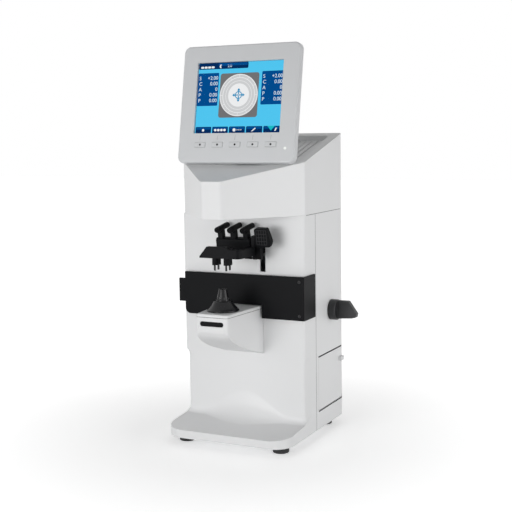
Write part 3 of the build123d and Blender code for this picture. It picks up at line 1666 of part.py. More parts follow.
with BuildPart() as power_inlet:
    with Locations((inlet_x, rear_y - inlet_depth / 2, inlet_z)):
        Box(inlet_width - 2 * slide_gap, inlet_depth, inlet_height - 2 * slide_gap)
    with Locations((inlet_x, rear_y - inlet_cavity / 2, inlet_z)):
        Box(
            inlet_width - 2 * inlet_rim_x,
            inlet_cavity,
            inlet_height - 2 * inlet_rim_z,
            mode=Mode.SUBTRACT,
        )
    for blade_x, blade_z in blade_places:
        with Locations((inlet_x + blade_x, rear_y - inlet_cavity + blade_length / 2, inlet_z + blade_z)):
            Box(blade_thickness, blade_length, blade_height)
    with Locations((inlet_x, rear_y - wall - flange_sheet / 2, inlet_z)):
        Box(inlet_width + 2 * flange_lap, flange_sheet, inlet_height + 2 * flange_lap)
        Box(
            inlet_width - 2 * inlet_rim_x,
            flange_sheet,
            inlet_height - 2 * inlet_rim_z,
            mode=Mode.SUBTRACT,
        )
    # frame of the power switch beside the socket
    with Locations((rocker_x, rear_y - rocker_depth / 2, inlet_z)):
        Box(
            rocker_width + 2 * rocker_frame - 2 * slide_gap,
            rocker_depth,
            rocker_height + 2 * rocker_frame - 2 * slide_gap,
        )
    with Locations((rocker_x, rear_y - wall - flange_sheet / 2, inlet_z)):
        Box(
            rocker_width + 2 * (rocker_frame + flange_lap),
            flange_sheet,
            rocker_height + 2 * (rocker_frame + flange_lap),
        )
    with Locations((rocker_x, rear_y - (rocker_depth - rocker_floor) / 2, inlet_z)):
        Box(
            rocker_width + 2 * seat_gap,
            rocker_depth - rocker_floor,
            rocker_height + 2 * rocker_play,
            mode=Mode.SUBTRACT,
        )
    with BuildSketch(side_plane(rocker_x)):
        with Locations((rocker_pivot_y, inlet_z)):
            Circle(rocker_pin_radius + running_gap)
    extrude(amount=rocker_width / 2 + 1.2, both=True, mode=Mode.SUBTRACT)
finish(power_inlet, "power_inlet")

with BuildPart() as power_rocker:
    rocker_half = rocker_height / 2
    rocker_turn = radians(rocker_swing / 2)
    with BuildSketch(
        Plane(
            origin=(rocker_x, rocker_pivot_y, inlet_z),
            x_dir=(0, cos(rocker_turn), sin(rocker_turn)),
            z_dir=(1, 0, 0),
        )
    ):
        with BuildLine():
            Polyline(
                (-rocker_back, -rocker_back_half),
                (rocker_shoulder, -rocker_half),
                (rocker_crest, -rocker_half),
                (rocker_dip, 0),
                (rocker_crest, rocker_half),
                (rocker_shoulder, rocker_half),
                (-rocker_back, rocker_back_half),
                close=True,
            )
        make_face()
    extrude(amount=rocker_width / 2, both=True)
    with BuildSketch(side_plane(rocker_x)):
        with Locations((rocker_pivot_y, inlet_z)):
            Circle(rocker_pin_radius)
    extrude(amount=rocker_width / 2 + 1, both=True)
finish(power_rocker, "power_rocker")

with BuildPart() as data_port:
    with Locations((port_x, rear_y - port_depth / 2, inlet_z)):
        Box(port_width - 2 * slide_gap, port_depth, port_height - 2 * slide_gap)
    with Locations((port_x, rear_y - wall - flange_sheet / 2, inlet_z)):
        Box(port_width + 2 * flange_lap, flange_sheet, port_height + 2 * flange_lap)
    with BuildSketch(front_plane(rear_y)) as port_recess:
        with Locations((port_x, inlet_z)):
            Trapezoid(port_mouth, port_mouth_height, port_mouth_angle, rotation=180)
        fillet(port_recess.vertices(), port_mouth_r)
    extrude(amount=port_depth - port_floor, mode=Mode.SUBTRACT)
    for count, row in ((contact_count, contact_row), (contact_count - 1, -contact_row)):
        with BuildSketch(front_plane(rear_y - port_depth + port_floor)):
            for n in range(count):
                with Locations((port_x + contact_pitch * (n - (count - 1) / 2), inlet_z + row)):
                    Rectangle(contact, contact)
        extrude(amount=-(port_depth - 2 * port_floor))
finish(data_port, "data_port")
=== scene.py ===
"""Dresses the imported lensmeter: finishes, the lit picture, small fittings and the stage."""

import json
import math

import bmesh
import bpy
from bpy.props import FloatProperty, FloatVectorProperty, IntProperty, PointerProperty
from mathutils import Matrix, Vector

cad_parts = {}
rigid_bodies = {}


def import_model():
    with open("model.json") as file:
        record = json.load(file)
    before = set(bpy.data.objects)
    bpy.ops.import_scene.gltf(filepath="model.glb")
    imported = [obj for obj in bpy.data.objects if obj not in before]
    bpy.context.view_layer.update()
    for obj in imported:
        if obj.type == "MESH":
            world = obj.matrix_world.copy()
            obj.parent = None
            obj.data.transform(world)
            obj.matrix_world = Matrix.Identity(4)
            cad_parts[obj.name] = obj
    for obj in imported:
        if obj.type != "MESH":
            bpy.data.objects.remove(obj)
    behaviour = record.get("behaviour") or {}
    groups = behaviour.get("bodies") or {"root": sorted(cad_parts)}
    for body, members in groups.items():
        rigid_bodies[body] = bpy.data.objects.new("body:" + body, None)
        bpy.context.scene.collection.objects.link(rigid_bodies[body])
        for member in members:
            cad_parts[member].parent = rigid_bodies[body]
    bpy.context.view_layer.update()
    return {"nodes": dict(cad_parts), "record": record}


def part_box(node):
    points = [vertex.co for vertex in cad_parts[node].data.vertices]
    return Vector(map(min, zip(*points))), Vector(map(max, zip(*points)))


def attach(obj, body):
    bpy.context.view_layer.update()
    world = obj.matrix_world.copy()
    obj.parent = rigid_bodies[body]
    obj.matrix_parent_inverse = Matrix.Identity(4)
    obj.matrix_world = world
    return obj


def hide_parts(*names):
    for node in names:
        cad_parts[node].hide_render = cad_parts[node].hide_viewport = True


bl_info = {
    "name": "Lensmeter dressing",
    "version": (1, 0, 0),
    "blender": (4, 5, 0),
    "location": "View3D > Sidebar > Lensmeter",
    "description": "Finishes, lit picture, fittings and stage for the table-top lensmeter",
    "category": "Object",
}

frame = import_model()
NODES = frame["nodes"]
SLOT_OF = {part["node"]: part["material_slot"] for part in frame["record"]["subparts"]}
MM = 0.001

# Frame of the lit screen, from the pane over it
TILT = math.radians(10.3)
SCREEN_NORMAL = Vector((0, -math.cos(TILT), math.sin(TILT)))
SCREEN_UP = Vector((0, math.sin(TILT), math.cos(TILT)))
PANE_LOW, PANE_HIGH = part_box("screen_glass")
PANE_MIDDLE = (PANE_LOW + PANE_HIGH) / 2
PANE_WIDTH = PANE_HIGH.x - PANE_LOW.x
PANE_THICKNESS = 1.8 * MM
PANEL_FRONT = PANE_MIDDLE - SCREEN_NORMAL * PANE_THICKNESS / 2


# Properties that a user would change
class LensmeterFinish(bpy.types.PropertyGroup):
    """Colours and surface values of the finishes."""

    housing: FloatVectorProperty(
        name="Housing", description="Colour of the moulded covers", subtype="COLOR",
        size=3, min=0, max=1, default=(0.79, 0.795, 0.80),
    )
    bezel: FloatVectorProperty(
        name="Bezel", description="Colour of the display's casing", subtype="COLOR",
        size=3, min=0, max=1, default=(0.63, 0.642, 0.655),
    )
    black: FloatVectorProperty(
        name="Black parts", description="Colour of the satin black plastic", subtype="COLOR",
        size=3, min=0, max=1, default=(0.004, 0.0043, 0.0052),
    )
    grain: FloatProperty(
        name="Grain", description="Height of the moulded grain", unit="LENGTH",
        min=0, default=0.012 * MM, precision=6,
    )
    edge: FloatProperty(
        name="Edge radius", description="Radius seen on the covers' edges", unit="LENGTH",
        min=0, default=0.5 * MM, precision=5,
    )


class LensmeterPicture(bpy.types.PropertyGroup):
    """Colours and layout of the lit picture."""

    sky: FloatVectorProperty(
        name="Ground", description="Ground colour of the picture", subtype="COLOR",
        size=3, min=0, max=1, default=(0.082, 0.575, 0.89),
    )
    navy: FloatVectorProperty(
        name="Panels", description="Colour of the value panels and tabs", subtype="COLOR",
        size=3, min=0, max=1, default=(0.0006, 0.072, 0.27),
    )
    dial: FloatProperty(
        name="Dial radius", description="Radius of the round dial", unit="LENGTH",
        min=0, default=25.5 * MM,
    )
    ticks: IntProperty(name="Ticks", description="Marks round the dial", min=4, max=72, default=12)


class LensmeterFittings(bpy.types.PropertyGroup):
    """Sizes of the small fittings."""

    key_dot: FloatProperty(
        name="Key dot", description="Radius of the dark dot on a key", unit="LENGTH",
        min=0, default=1.3 * MM,
    )
    ribs: IntProperty(name="Tray ribs", description="Ribs on the tray's floor", min=1, default=15)
    rib_pitch: FloatProperty(
        name="Rib pitch", description="Distance between two ribs", unit="LENGTH",
        min=0, default=8 * MM,
    )
    rear_screw: FloatProperty(
        name="Rear screws", description="Radius of the rear cover's screws", unit="LENGTH",
        min=0, default=2.8 * MM,
    )
    table_screw: FloatProperty(
        name="Table screws", description="Radius of the lens table's screws", unit="LENGTH",
        min=0, default=1.9 * MM,
    )


class LensmeterStage(bpy.types.PropertyGroup):
    """Camera and lights."""

    lens: FloatProperty(
        name="Lens", description="Focal length in millimetres", min=1, default=73.47,
    )
    key: FloatProperty(
        name="Key light", description="Power of the low front lamp", unit="POWER",
        min=0, default=2.3,
    )
    front: FloatProperty(
        name="Front light", description="Power of the raised front lamp", unit="POWER",
        min=0, default=3.0,
    )
    fill: FloatProperty(
        name="Fill light", description="Power of the right-hand lamp", unit="POWER",
        min=0, default=2.1,
    )
    world: FloatProperty(
        name="World", description="Strength of the surrounding light", min=0, default=0.55,
    )


# Shader node groups
def socket(tree, name, direction, kind, default=None):
    """Adds one socket to a node group's interface."""
    item = tree.interface.new_socket(name=name, in_out=direction, socket_type=kind)
    if default is not None:
        item.default_value = default


def moulded_grain_group():
    """Fine grain of a moulded surface and a slow drift of tone over it."""
    tree = bpy.data.node_groups.new("moulded_grain", "ShaderNodeTree")
    socket(tree, "Colour", "INPUT", "NodeSocketColor", (0.8, 0.8, 0.8, 1))
    socket(tree, "Grain scale", "INPUT", "NodeSocketFloat", 900.0)
    socket(tree, "Drift", "INPUT", "NodeSocketFloat", 0.03)
    socket(tree, "Roughness", "INPUT", "NodeSocketFloat", 0.45)
    socket(tree, "Colour", "OUTPUT", "NodeSocketColor")
    socket(tree, "Roughness", "OUTPUT", "NodeSocketFloat")
    socket(tree, "Height", "OUTPUT", "NodeSocketFloat")
    nodes, links = tree.nodes, tree.links
    entry = nodes.new("NodeGroupInput")
    leave = nodes.new("NodeGroupOutput")
    place = nodes.new("ShaderNodeTexCoord")
    fine = nodes.new("ShaderNodeTexNoise")
    fine.inputs["Detail"].default_value = 3.0
    slow = nodes.new("ShaderNodeTexNoise")
    slow.inputs["Scale"].default_value = 14.0
    slow.inputs["Detail"].default_value = 2.0
    span = nodes.new("ShaderNodeMapRange")
    span.inputs["To Max"].default_value = 1.0
    darker = nodes.new("ShaderNodeMath")
    darker.operation = "SUBTRACT"
    darker.inputs[0].default_value = 1.0
    tint = nodes.new("ShaderNodeVectorMath")
    tint.operation = "SCALE"
    rough = nodes.new("ShaderNodeMath")
    rough.operation = "MULTIPLY_ADD"
    rough.inputs[1].default_value = 0.08
    links.new(place.outputs["Object"], fine.inputs["Vector"])
    links.new(place.outputs["Object"], slow.inputs["Vector"])
    links.new(entry.outputs["Grain scale"], fine.inputs["Scale"])
    links.new(entry.outputs["Drift"], darker.inputs[1])
    links.new(darker.outputs[0], span.inputs["To Min"])
    links.new(slow.outputs["Fac"], span.inputs["Value"])
    links.new(entry.outputs["Colour"], tint.inputs[0])
    links.new(span.outputs["Result"], tint.inputs["Scale"])
    links.new(fine.outputs["Fac"], rough.inputs[0])
    links.new(entry.outputs["Roughness"], rough.inputs[2])
    links.new(tint.outputs[0], leave.inputs["Colour"])
    links.new(rough.outputs[0], leave.inputs["Roughness"])
    links.new(fine.outputs["Fac"], leave.inputs["Height"])
    return tree


def edge_wear_group():
    """Mask along convex edges, broken up by noise."""
    tree = bpy.data.node_groups.new("edge_wear", "ShaderNodeTree")
    socket(tree, "Amount", "INPUT", "NodeSocketFloat", 0.3)
    socket(tree, "Mask", "OUTPUT", "NodeSocketFloat")
    nodes, links = tree.nodes, tree.links
    entry = nodes.new("NodeGroupInput")
    leave = nodes.new("NodeGroupOutput")
    place = nodes.new("ShaderNodeTexCoord")
    shape = nodes.new("ShaderNodeNewGeometry")
    noise = nodes.new("ShaderNodeTexNoise")
    noise.inputs["Scale"].default_value = 260.0
    ramp = nodes.new("ShaderNodeMapRange")
    ramp.inputs["From Min"].default_value = 0.53
    ramp.inputs["From Max"].default_value = 0.62
    broken = nodes.new("ShaderNodeMath")
    broken.operation = "MULTIPLY"
    scaled = nodes.new("ShaderNodeMath")
    scaled.operation = "MULTIPLY"
    links.new(place.outputs["Object"], noise.inputs["Vector"])
    links.new(shape.outputs["Pointiness"], ramp.inputs["Value"])
    links.new(ramp.outputs["Result"], broken.inputs[0])
    links.new(noise.outputs["Fac"], broken.inputs[1])
    links.new(broken.outputs[0], scaled.inputs[0])
    links.new(entry.outputs["Amount"], scaled.inputs[1])
    links.new(scaled.outputs[0], leave.inputs["Mask"])
    return tree


def group_node(material, group_name, builder):
    """Places a shared group in a material, and builds the group the first time."""
    node = material.node_tree.nodes.new("ShaderNodeGroup")
    node.node_tree = bpy.data.node_groups.get(group_name) or builder()
    return node


# Materials
def blank_material(name):
    """A new material and its Principled shader."""
    material = bpy.data.materials.new(name)
    material.use_nodes = True
    return material, material.node_tree.nodes["Principled BSDF"]


def moulded(
    name, colour, roughness, grain_scale, drift, coat=0.0, wear=0.0, metallic=0.0, shine=0.5,
):
    """Moulded or machined finish: grained, slightly uneven in tone, with softened edges."""
    finish = bpy.context.scene.lensmeter_finish
    material, shader = blank_material(name)
    nodes, links = material.node_tree.nodes, material.node_tree.links
    surface = group_node(material, "moulded_grain", moulded_grain_group)
    surface.inputs["Colour"].default_value = (*colour, 1)
    surface.inputs["Grain scale"].default_value = grain_scale
    surface.inputs["Drift"].default_value = drift
    surface.inputs["Roughness"].default_value = roughness
    bump = nodes.new("ShaderNodeBump")
    bump.inputs["Distance"].default_value = finish.grain
    bump.inputs["Strength"].default_value = 0.5
    rounded = nodes.new("ShaderNodeBevel")
    rounded.samples = 4
    rounded.inputs["Radius"].default_value = finish.edge
    links.new(rounded.outputs["Normal"], bump.inputs["Normal"])
    links.new(surface.outputs["Height"], bump.inputs["Height"])
    links.new(bump.outputs["Normal"], shader.inputs["Normal"])
    links.new(surface.outputs["Roughness"], shader.inputs["Roughness"])
    if wear:
        mask = group_node(material, "edge_wear", edge_wear_group)
        mask.inputs["Amount"].default_value = wear
        blend = nodes.new("ShaderNodeMix")
        blend.data_type = "RGBA"
        blend.inputs["B"].default_value = (*[min(1.0, c * 4 + 0.12) for c in colour], 1)
        links.new(mask.outputs["Mask"], blend.inputs["Factor"])
        links.new(surface.outputs["Colour"], blend.inputs["A"])
        links.new(blend.outputs["Result"], shader.inputs["Base Color"])
    else:
        links.new(surface.outputs["Colour"], shader.inputs["Base Color"])
    shader.inputs["Metallic"].default_value = metallic
    shader.inputs["Specular IOR Level"].default_value = shine
    shader.inputs["Coat Weight"].default_value = coat
    shader.inputs["Coat Roughness"].default_value = 0.08
    return material


def brushed(name, colour, roughness):
    """Metal with a fine drawn grain along Z."""
    material, shader = blank_material(name)
    nodes, links = material.node_tree.nodes, material.node_tree.links
    place = nodes.new("ShaderNodeTexCoord")
    stretch = nodes.new("ShaderNodeMapping")
    stretch.inputs["Scale"].default_value = (1.0, 1.0, 0.04)
    lines = nodes.new("ShaderNodeTexNoise")
    lines.inputs["Scale"].default_value = 1400.0
    tone = nodes.new("ShaderNodeMapRange")
    tone.inputs["To Min"].default_value = roughness - 0.06
    tone.inputs["To Max"].default_value = roughness + 0.1
    shade = nodes.new("ShaderNodeMix")
    shade.data_type = "RGBA"
    shade.inputs["A"].default_value = (*[c * 0.86 for c in colour], 1)
    shade.inputs["B"].default_value = (*colour, 1)
    links.new(place.outputs["Object"], stretch.inputs["Vector"])
    links.new(stretch.outputs["Vector"], lines.inputs["Vector"])
    links.new(lines.outputs["Fac"], tone.inputs["Value"])
    links.new(lines.outputs["Fac"], shade.inputs["Factor"])
    links.new(tone.outputs["Result"], shader.inputs["Roughness"])
    links.new(shade.outputs["Result"], shader.inputs["Base Color"])
    shader.inputs["Metallic"].default_value = 1.0
    return material


def clear_glass(name, colour, alpha, shine=0.5):
    """Thin clear pane with a faint uneven gloss."""
    material, shader = blank_material(name)
    nodes, links = material.node_tree.nodes, material.node_tree.links
    place = nodes.new("ShaderNodeTexCoord")
    haze = nodes.new("ShaderNodeTexNoise")
    haze.inputs["Scale"].default_value = 40.0
    tone = nodes.new("ShaderNodeMapRange")
    tone.inputs["To Min"].default_value = 0.03
    tone.inputs["To Max"].default_value = 0.09
    links.new(place.outputs["Object"], haze.inputs["Vector"])
    links.new(haze.outputs["Fac"], tone.inputs["Value"])
    links.new(tone.outputs["Result"], shader.inputs["Roughness"])
    shader.inputs["Base Color"].default_value = (*colour, 1)
    shader.inputs["Alpha"].default_value = alpha
    shader.inputs["Specular IOR Level"].default_value = shine
    return material


def lit(name, colour, strength=1.0):
    """Lit picture element with a fine cell pattern."""
    material, shader = blank_material(name)
    nodes, links = material.node_tree.nodes, material.node_tree.links
    place = nodes.new("ShaderNodeTexCoord")
    cell = nodes.new("ShaderNodeTexNoise")
    cell.inputs["Scale"].default_value = 9000.0
    shade = nodes.new("ShaderNodeMix")
    shade.data_type = "RGBA"
    shade.inputs["A"].default_value = (*[c * 0.93 for c in colour], 1)
    shade.inputs["B"].default_value = (*[min(1.0, c * 1.05) for c in colour], 1)
    links.new(place.outputs["Object"], cell.inputs["Vector"])
    links.new(cell.outputs["Fac"], shade.inputs["Factor"])
    links.new(shade.outputs["Result"], shader.inputs["Emission Color"])
    shader.inputs["Emission Strength"].default_value = strength
    shader.inputs["Base Color"].default_value = (*[c * 0.02 for c in colour], 1)
    shader.inputs["Roughness"].default_value = 0.6
    shader.inputs["Specular IOR Level"].default_value = 0.0
    return material


def circuit_board_finish():
    """Green solder resist with a fine pattern of tracks."""
    material, shader = blank_material("circuit_board")
    nodes, links = material.node_tree.nodes, material.node_tree.links
    place = nodes.new("ShaderNodeTexCoord")
    tracks = nodes.new("ShaderNodeTexBrick")
    tracks.inputs["Scale"].default_value = 160.0
    tracks.inputs["Color1"].default_value = (0.012, 0.11, 0.04, 1)
    tracks.inputs["Color2"].default_value = (0.015, 0.13, 0.05, 1)
    tracks.inputs["Mortar"].default_value = (0.05, 0.22, 0.08, 1)
    tracks.inputs["Mortar Size"].default_value = 0.03
    links.new(place.outputs["Object"], tracks.inputs["Vector"])
    links.new(tracks.outputs["Color"], shader.inputs["Base Color"])
    shader.inputs["Roughness"].default_value = 0.35
    return material


# Pieces and their meshes
def add_piece(name, mesh, body, slot, *materials):
    """Links a finished mesh as a piece that rides on a body. With no materials it keeps its own."""
    piece = bpy.data.objects.new(name, mesh)
    bpy.context.scene.collection.objects.link(piece)
    if materials:
        mesh.materials.clear()
    for material in materials:
        mesh.materials.append(material)
    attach(piece, body)
    return piece


def mesh_from(name, bm):
    """Turns a bmesh into a mesh with its normals outward."""
    bmesh.ops.recalc_face_normals(bm, faces=bm.faces)
    mesh = bpy.data.meshes.new(name)
    bm.to_mesh(mesh)
    bm.free()
    return mesh


def body_of(node):
    """Name of the body that carries a solid."""
    return NODES[node].parent.name.removeprefix("body:")


def finish_of(node):
    """Finish that the solid carries."""
    return NODES[node].data.materials[0]


def merged(node):
    """The solid's mesh as a bmesh with its doubles merged."""
    bm = bmesh.new()
    bm.from_mesh(NODES[node].data)
    bmesh.ops.remove_doubles(bm, verts=bm.verts, dist=1e-6)
    return bm


def evaluated_mesh(host):
    """Mesh of an object with its modifiers applied."""
    bpy.context.view_layer.update()
    graph = bpy.context.evaluated_depsgraph_get()
    return bpy.data.meshes.new_from_object(host.evaluated_get(graph))


def smooth_copy(node):
    """Merged copy of a solid's mesh, shaded smooth except along its real edges."""
    bm = merged(node)
    for face in bm.faces:
        face.smooth = True
    for edge in bm.edges:
        edge.smooth = len(edge.link_faces) == 2 and edge.calc_face_angle(0.0) < SOLID_EDGE
    mesh = bpy.data.meshes.new(node + "_look")
    bm.to_mesh(mesh)
    bm.free()
    host = bpy.data.objects.new(mesh.name, mesh)
    bpy.context.scene.collection.objects.link(host)
    weighted = host.modifiers.new("weighted", "WEIGHTED_NORMAL")
    weighted.keep_sharp = True
    shaded = evaluated_mesh(host)
    bpy.data.objects.remove(host)
    bpy.data.meshes.remove(mesh)
    return shaded


def prism(bm, foot, top):
    """Closes a body between two outlines of as many points."""
    foot = [bm.verts.new(point) for point in foot]
    top = [bm.verts.new(point) for point in top]
    bm.faces.new(foot[::-1])
    bm.faces.new(top)
    for i in range(len(top)):
        j = (i + 1) % len(top)
        bm.faces.new((foot[i], foot[j], top[j], top[i]))


def plate(bm, outline, low, high):
    """Adds a closed plate with a flat outline between two heights."""
    prism(bm, [(x, y, low) for x, y in outline], [(x, y, high) for x, y in outline])


def block(bm, low, high):
    """Adds a closed block between two corners in millimetres."""
    outline = ((low[0], low[1]), (high[0], low[1]), (high[0], high[1]), (low[0], high[1]))
    foot, top = ([Vector((x, y, z)) * MM for x, y in outline] for z in (low[2], high[2]))
    prism(bm, foot, top)


def rings_between(bm, loops):
    """Joins closed loops of vertices in turn, the last one to the first."""
    for k, loop in enumerate(loops):
        following = loops[(k + 1) % len(loops)]
        for i in range(len(loop)):
            j = (i + 1) % len(loop)
            bm.faces.new((loop[i], loop[j], following[j], following[i]))


def circle(cx, cy, radius, steps):
    """Points of a circle."""
    turns = [2 * math.pi * i / steps for i in range(steps)]
    return [(cx + radius * math.cos(turn), cy + radius * math.sin(turn)) for turn in turns]


def ring(bm, cx, cy, inner, outer, low, high, steps=48):
    """Adds a flat closed ring."""
    loops = []
    for radius, z in ((inner, low), (outer, low), (outer, high), (inner, high)):
        loops.append([bm.verts.new((x, y, z)) for x, y in circle(cx, cy, radius, steps)])
    rings_between(bm, loops)


def lathe(bm, profile, cx, cy, steps=64):
    """Adds a closed turned ring from a closed profile of radius and height in millimetres."""
    loops = []
    for radius, z in profile:
        outline = circle(cx, cy, radius, steps)
        loops.append([bm.verts.new(Vector((x, y, z)) * MM) for x, y in outline])
    rings_between(bm, loops)


def rounded_outline(left, low, right, high, radius, steps=5):
    """Outline of a rectangle with rounded corners."""
    corners = (
        (right - radius, high - radius, 0),
        (left + radius, high - radius, 90),
        (left + radius, low + radius, 180),
        (right - radius, low + radius, 270),
    )
    points = []
    for cx, cy, start in corners:
        for step in range(steps + 1):
            angle = math.radians(start + 90 * step / steps)
            points.append((cx + radius * math.cos(angle), cy + radius * math.sin(angle)))
    return points


def wall_band(node, low, high, proud, keep):
    """Thin closed band over upright walls of a solid between two heights, for a parting line."""
    bm = merged(node)
    for height, side in ((low, -1), (high, 1)):
        bmesh.ops.bisect_plane(
            bm, geom=bm.verts[:] + bm.edges[:] + bm.faces[:], plane_co=(0, 0, height * MM),
            plane_no=(0, 0, side), clear_outer=True,
        )
    band = bmesh.new()
    for face in bm.faces:
        if abs(face.normal.z) > 0.3 or not keep(face.calc_center_median() / MM):
            continue
        corners = [vert.co for vert in face.verts]
        lift, sink = face.normal * proud * MM, face.normal * LINE_SINK * MM
        prism(band, [corner - sink for corner in corners], [corner + lift for corner in corners])
    bm.free()
    return band


# Screen directions
def screen_turn():
    """Turns screen millimetres into the row frame about the frame's origin."""
    return Matrix((
        (1, 0, 0),
        (0, SCREEN_UP.y, SCREEN_NORMAL.y),
        (0, SCREEN_UP.z, SCREEN_NORMAL.z),
    )).to_4x4() @ Matrix.Scale(MM, 4)


def screen_matrix():
    """Places screen millimetres, measured from the middle of the panel, on its front."""
    return Matrix.Translation(PANEL_FRONT) @ screen_turn()


def screen_box(node):
    """Lowest and highest corner of a solid in the screen's directions, in millimetres."""
    places = [
        Vector((vert.co.x, vert.co.dot(SCREEN_UP), vert.co.dot(SCREEN_NORMAL))) / MM
        for vert in NODES[node].data.vertices
    ]
    low = Vector([min(place[k] for place in places) for k in range(3)])
    high = Vector([max(place[k] for place in places) for k in range(3)])
    return low, high


def picture_finish(name):
    """Lit finish of one colour of the picture, made once."""
    look = bpy.context.scene.lensmeter_picture
    chosen = {"picture_sky": look.sky, "picture_navy": look.navy, **PICTURE_COLOURS}
    return bpy.data.materials.get(name) or lit(name, chosen[name])


def picture_piece(name, mesh, finish, slot="screen"):
    """Sets a mesh in screen millimetres on the panel, as a piece of the display."""
    mesh.transform(screen_matrix())
    return add_piece(name, mesh, "display", slot, finish)


def picture_plate(name, outlines, layer, finish):
    """One layer of the lit picture, made of flat outlines in screen millimetres."""
    bm = bmesh.new()
    for outline in outlines:
        plate(bm, outline, LAYER * layer, LAYER * (layer + 1) - LAYER_GAP)
    return picture_piece(name, mesh_from(name, bm), picture_finish(finish))


def words_mesh(name, rows, layer):
    """Mesh of rows of generic figures, given by text, edge, height, size and alignment."""
    joined = bmesh.new()
    for text, x, y, size, align in rows:
        curve = bpy.data.curves.new(name, "FONT")
        curve.body = text
        curve.size = size
        curve.align_x = align
        curve.extrude = (LAYER - LAYER_GAP) / 2
        writer = bpy.data.objects.new(name, curve)
        bpy.context.scene.collection.objects.link(writer)
        mesh = evaluated_mesh(writer)
        mesh.transform(Matrix.Translation((x, y, LAYER * layer + (LAYER - LAYER_GAP) / 2)))
        joined.from_mesh(mesh)
        bpy.data.objects.remove(writer)
        bpy.data.curves.remove(curve)
        bpy.data.meshes.remove(mesh)
    bmesh.ops.remove_doubles(joined, verts=joined.verts, dist=1e-5)
    return mesh_from(name, joined)


# Node trees that repeat a shape
def shape_tree(name, inputs):
    """Starts a geometry node tree with named inputs, given as pairs of name and kind of socket."""
    tree = bpy.data.node_groups.new(name, "GeometryNodeTree")
    for label, kind in inputs:
        tree.interface.new_socket(name=label, in_out="INPUT", socket_type="NodeSocket" + kind)
    tree.interface.new_socket(name="Geometry", in_out="OUTPUT", socket_type="NodeSocketGeometry")
    return tree, tree.nodes.new("NodeGroupInput")


def painted(tree, shape, material):
    """Gives a shape in a tree its material."""
    paint = tree.nodes.new("GeometryNodeSetMaterial")
    paint.inputs["Material"].default_value = material
    tree.links.new(shape, paint.inputs["Geometry"])
    return paint.outputs["Geometry"]


def copied(tree, points, shape, rotation=None):
    """Sets a copy of a shape on each point and makes the copies real."""
    copies = tree.nodes.new("GeometryNodeInstanceOnPoints")
    solid = tree.nodes.new("GeometryNodeRealizeInstances")
    tree.links.new(points, copies.inputs["Points"])
    tree.links.new(shape, copies.inputs["Instance"])
    if rotation is not None:
        tree.links.new(rotation, copies.inputs["Rotation"])
    tree.links.new(copies.outputs["Instances"], solid.inputs["Geometry"])
    return solid.outputs["Geometry"]


def end_tree(tree, shape):
    """Sends the finished shape to the tree's output."""
    tree.links.new(shape, tree.nodes.new("NodeGroupOutput").inputs["Geometry"])
    return tree


def tick_tree(material):
    """Short bars on a circle, each pointing outward."""
    tree, entry = shape_tree("dial_ticks", (("Count", "Int"), ("Radius", "Float")))
    loop = tree.nodes.new("GeometryNodeMeshCircle")
    bar = tree.nodes.new("GeometryNodeMeshCube")
    bar.inputs["Size"].default_value = (*TICK, LAYER - LAYER_GAP)
    turn = tree.nodes.new("FunctionNodeAlignRotationToVector")
    turn.axis = "X"
    where = tree.nodes.new("GeometryNodeInputPosition")
    tree.links.new(entry.outputs["Count"], loop.inputs["Vertices"])
    tree.links.new(entry.outputs["Radius"], loop.inputs["Radius"])
    tree.links.new(where.outputs["Position"], turn.inputs["Vector"])
    bars = copied(tree, loop.outputs["Mesh"], bar.outputs["Mesh"], turn.outputs["Rotation"])
    return end_tree(tree, painted(tree, bars, material))


def rib_tree(material):
    """Row of straight ribs."""
    tree, entry = shape_tree("tray_ribs", (("Count", "Int"), ("Pitch", "Float")))
    row = tree.nodes.new("GeometryNodeMeshLine")
    step = tree.nodes.new("ShaderNodeCombineXYZ")
    rib = tree.nodes.new("GeometryNodeMeshCube")
    rib.inputs["Size"].default_value = [length * MM for length in RIB]
    tree.links.new(entry.outputs["Count"], row.inputs["Count"])
    tree.links.new(entry.outputs["Pitch"], step.inputs["X"])
    tree.links.new(step.outputs["Vector"], row.inputs["Offset"])
    ribs = copied(tree, row.outputs["Mesh"], rib.outputs["Mesh"])
    return end_tree(tree, painted(tree, ribs, material))


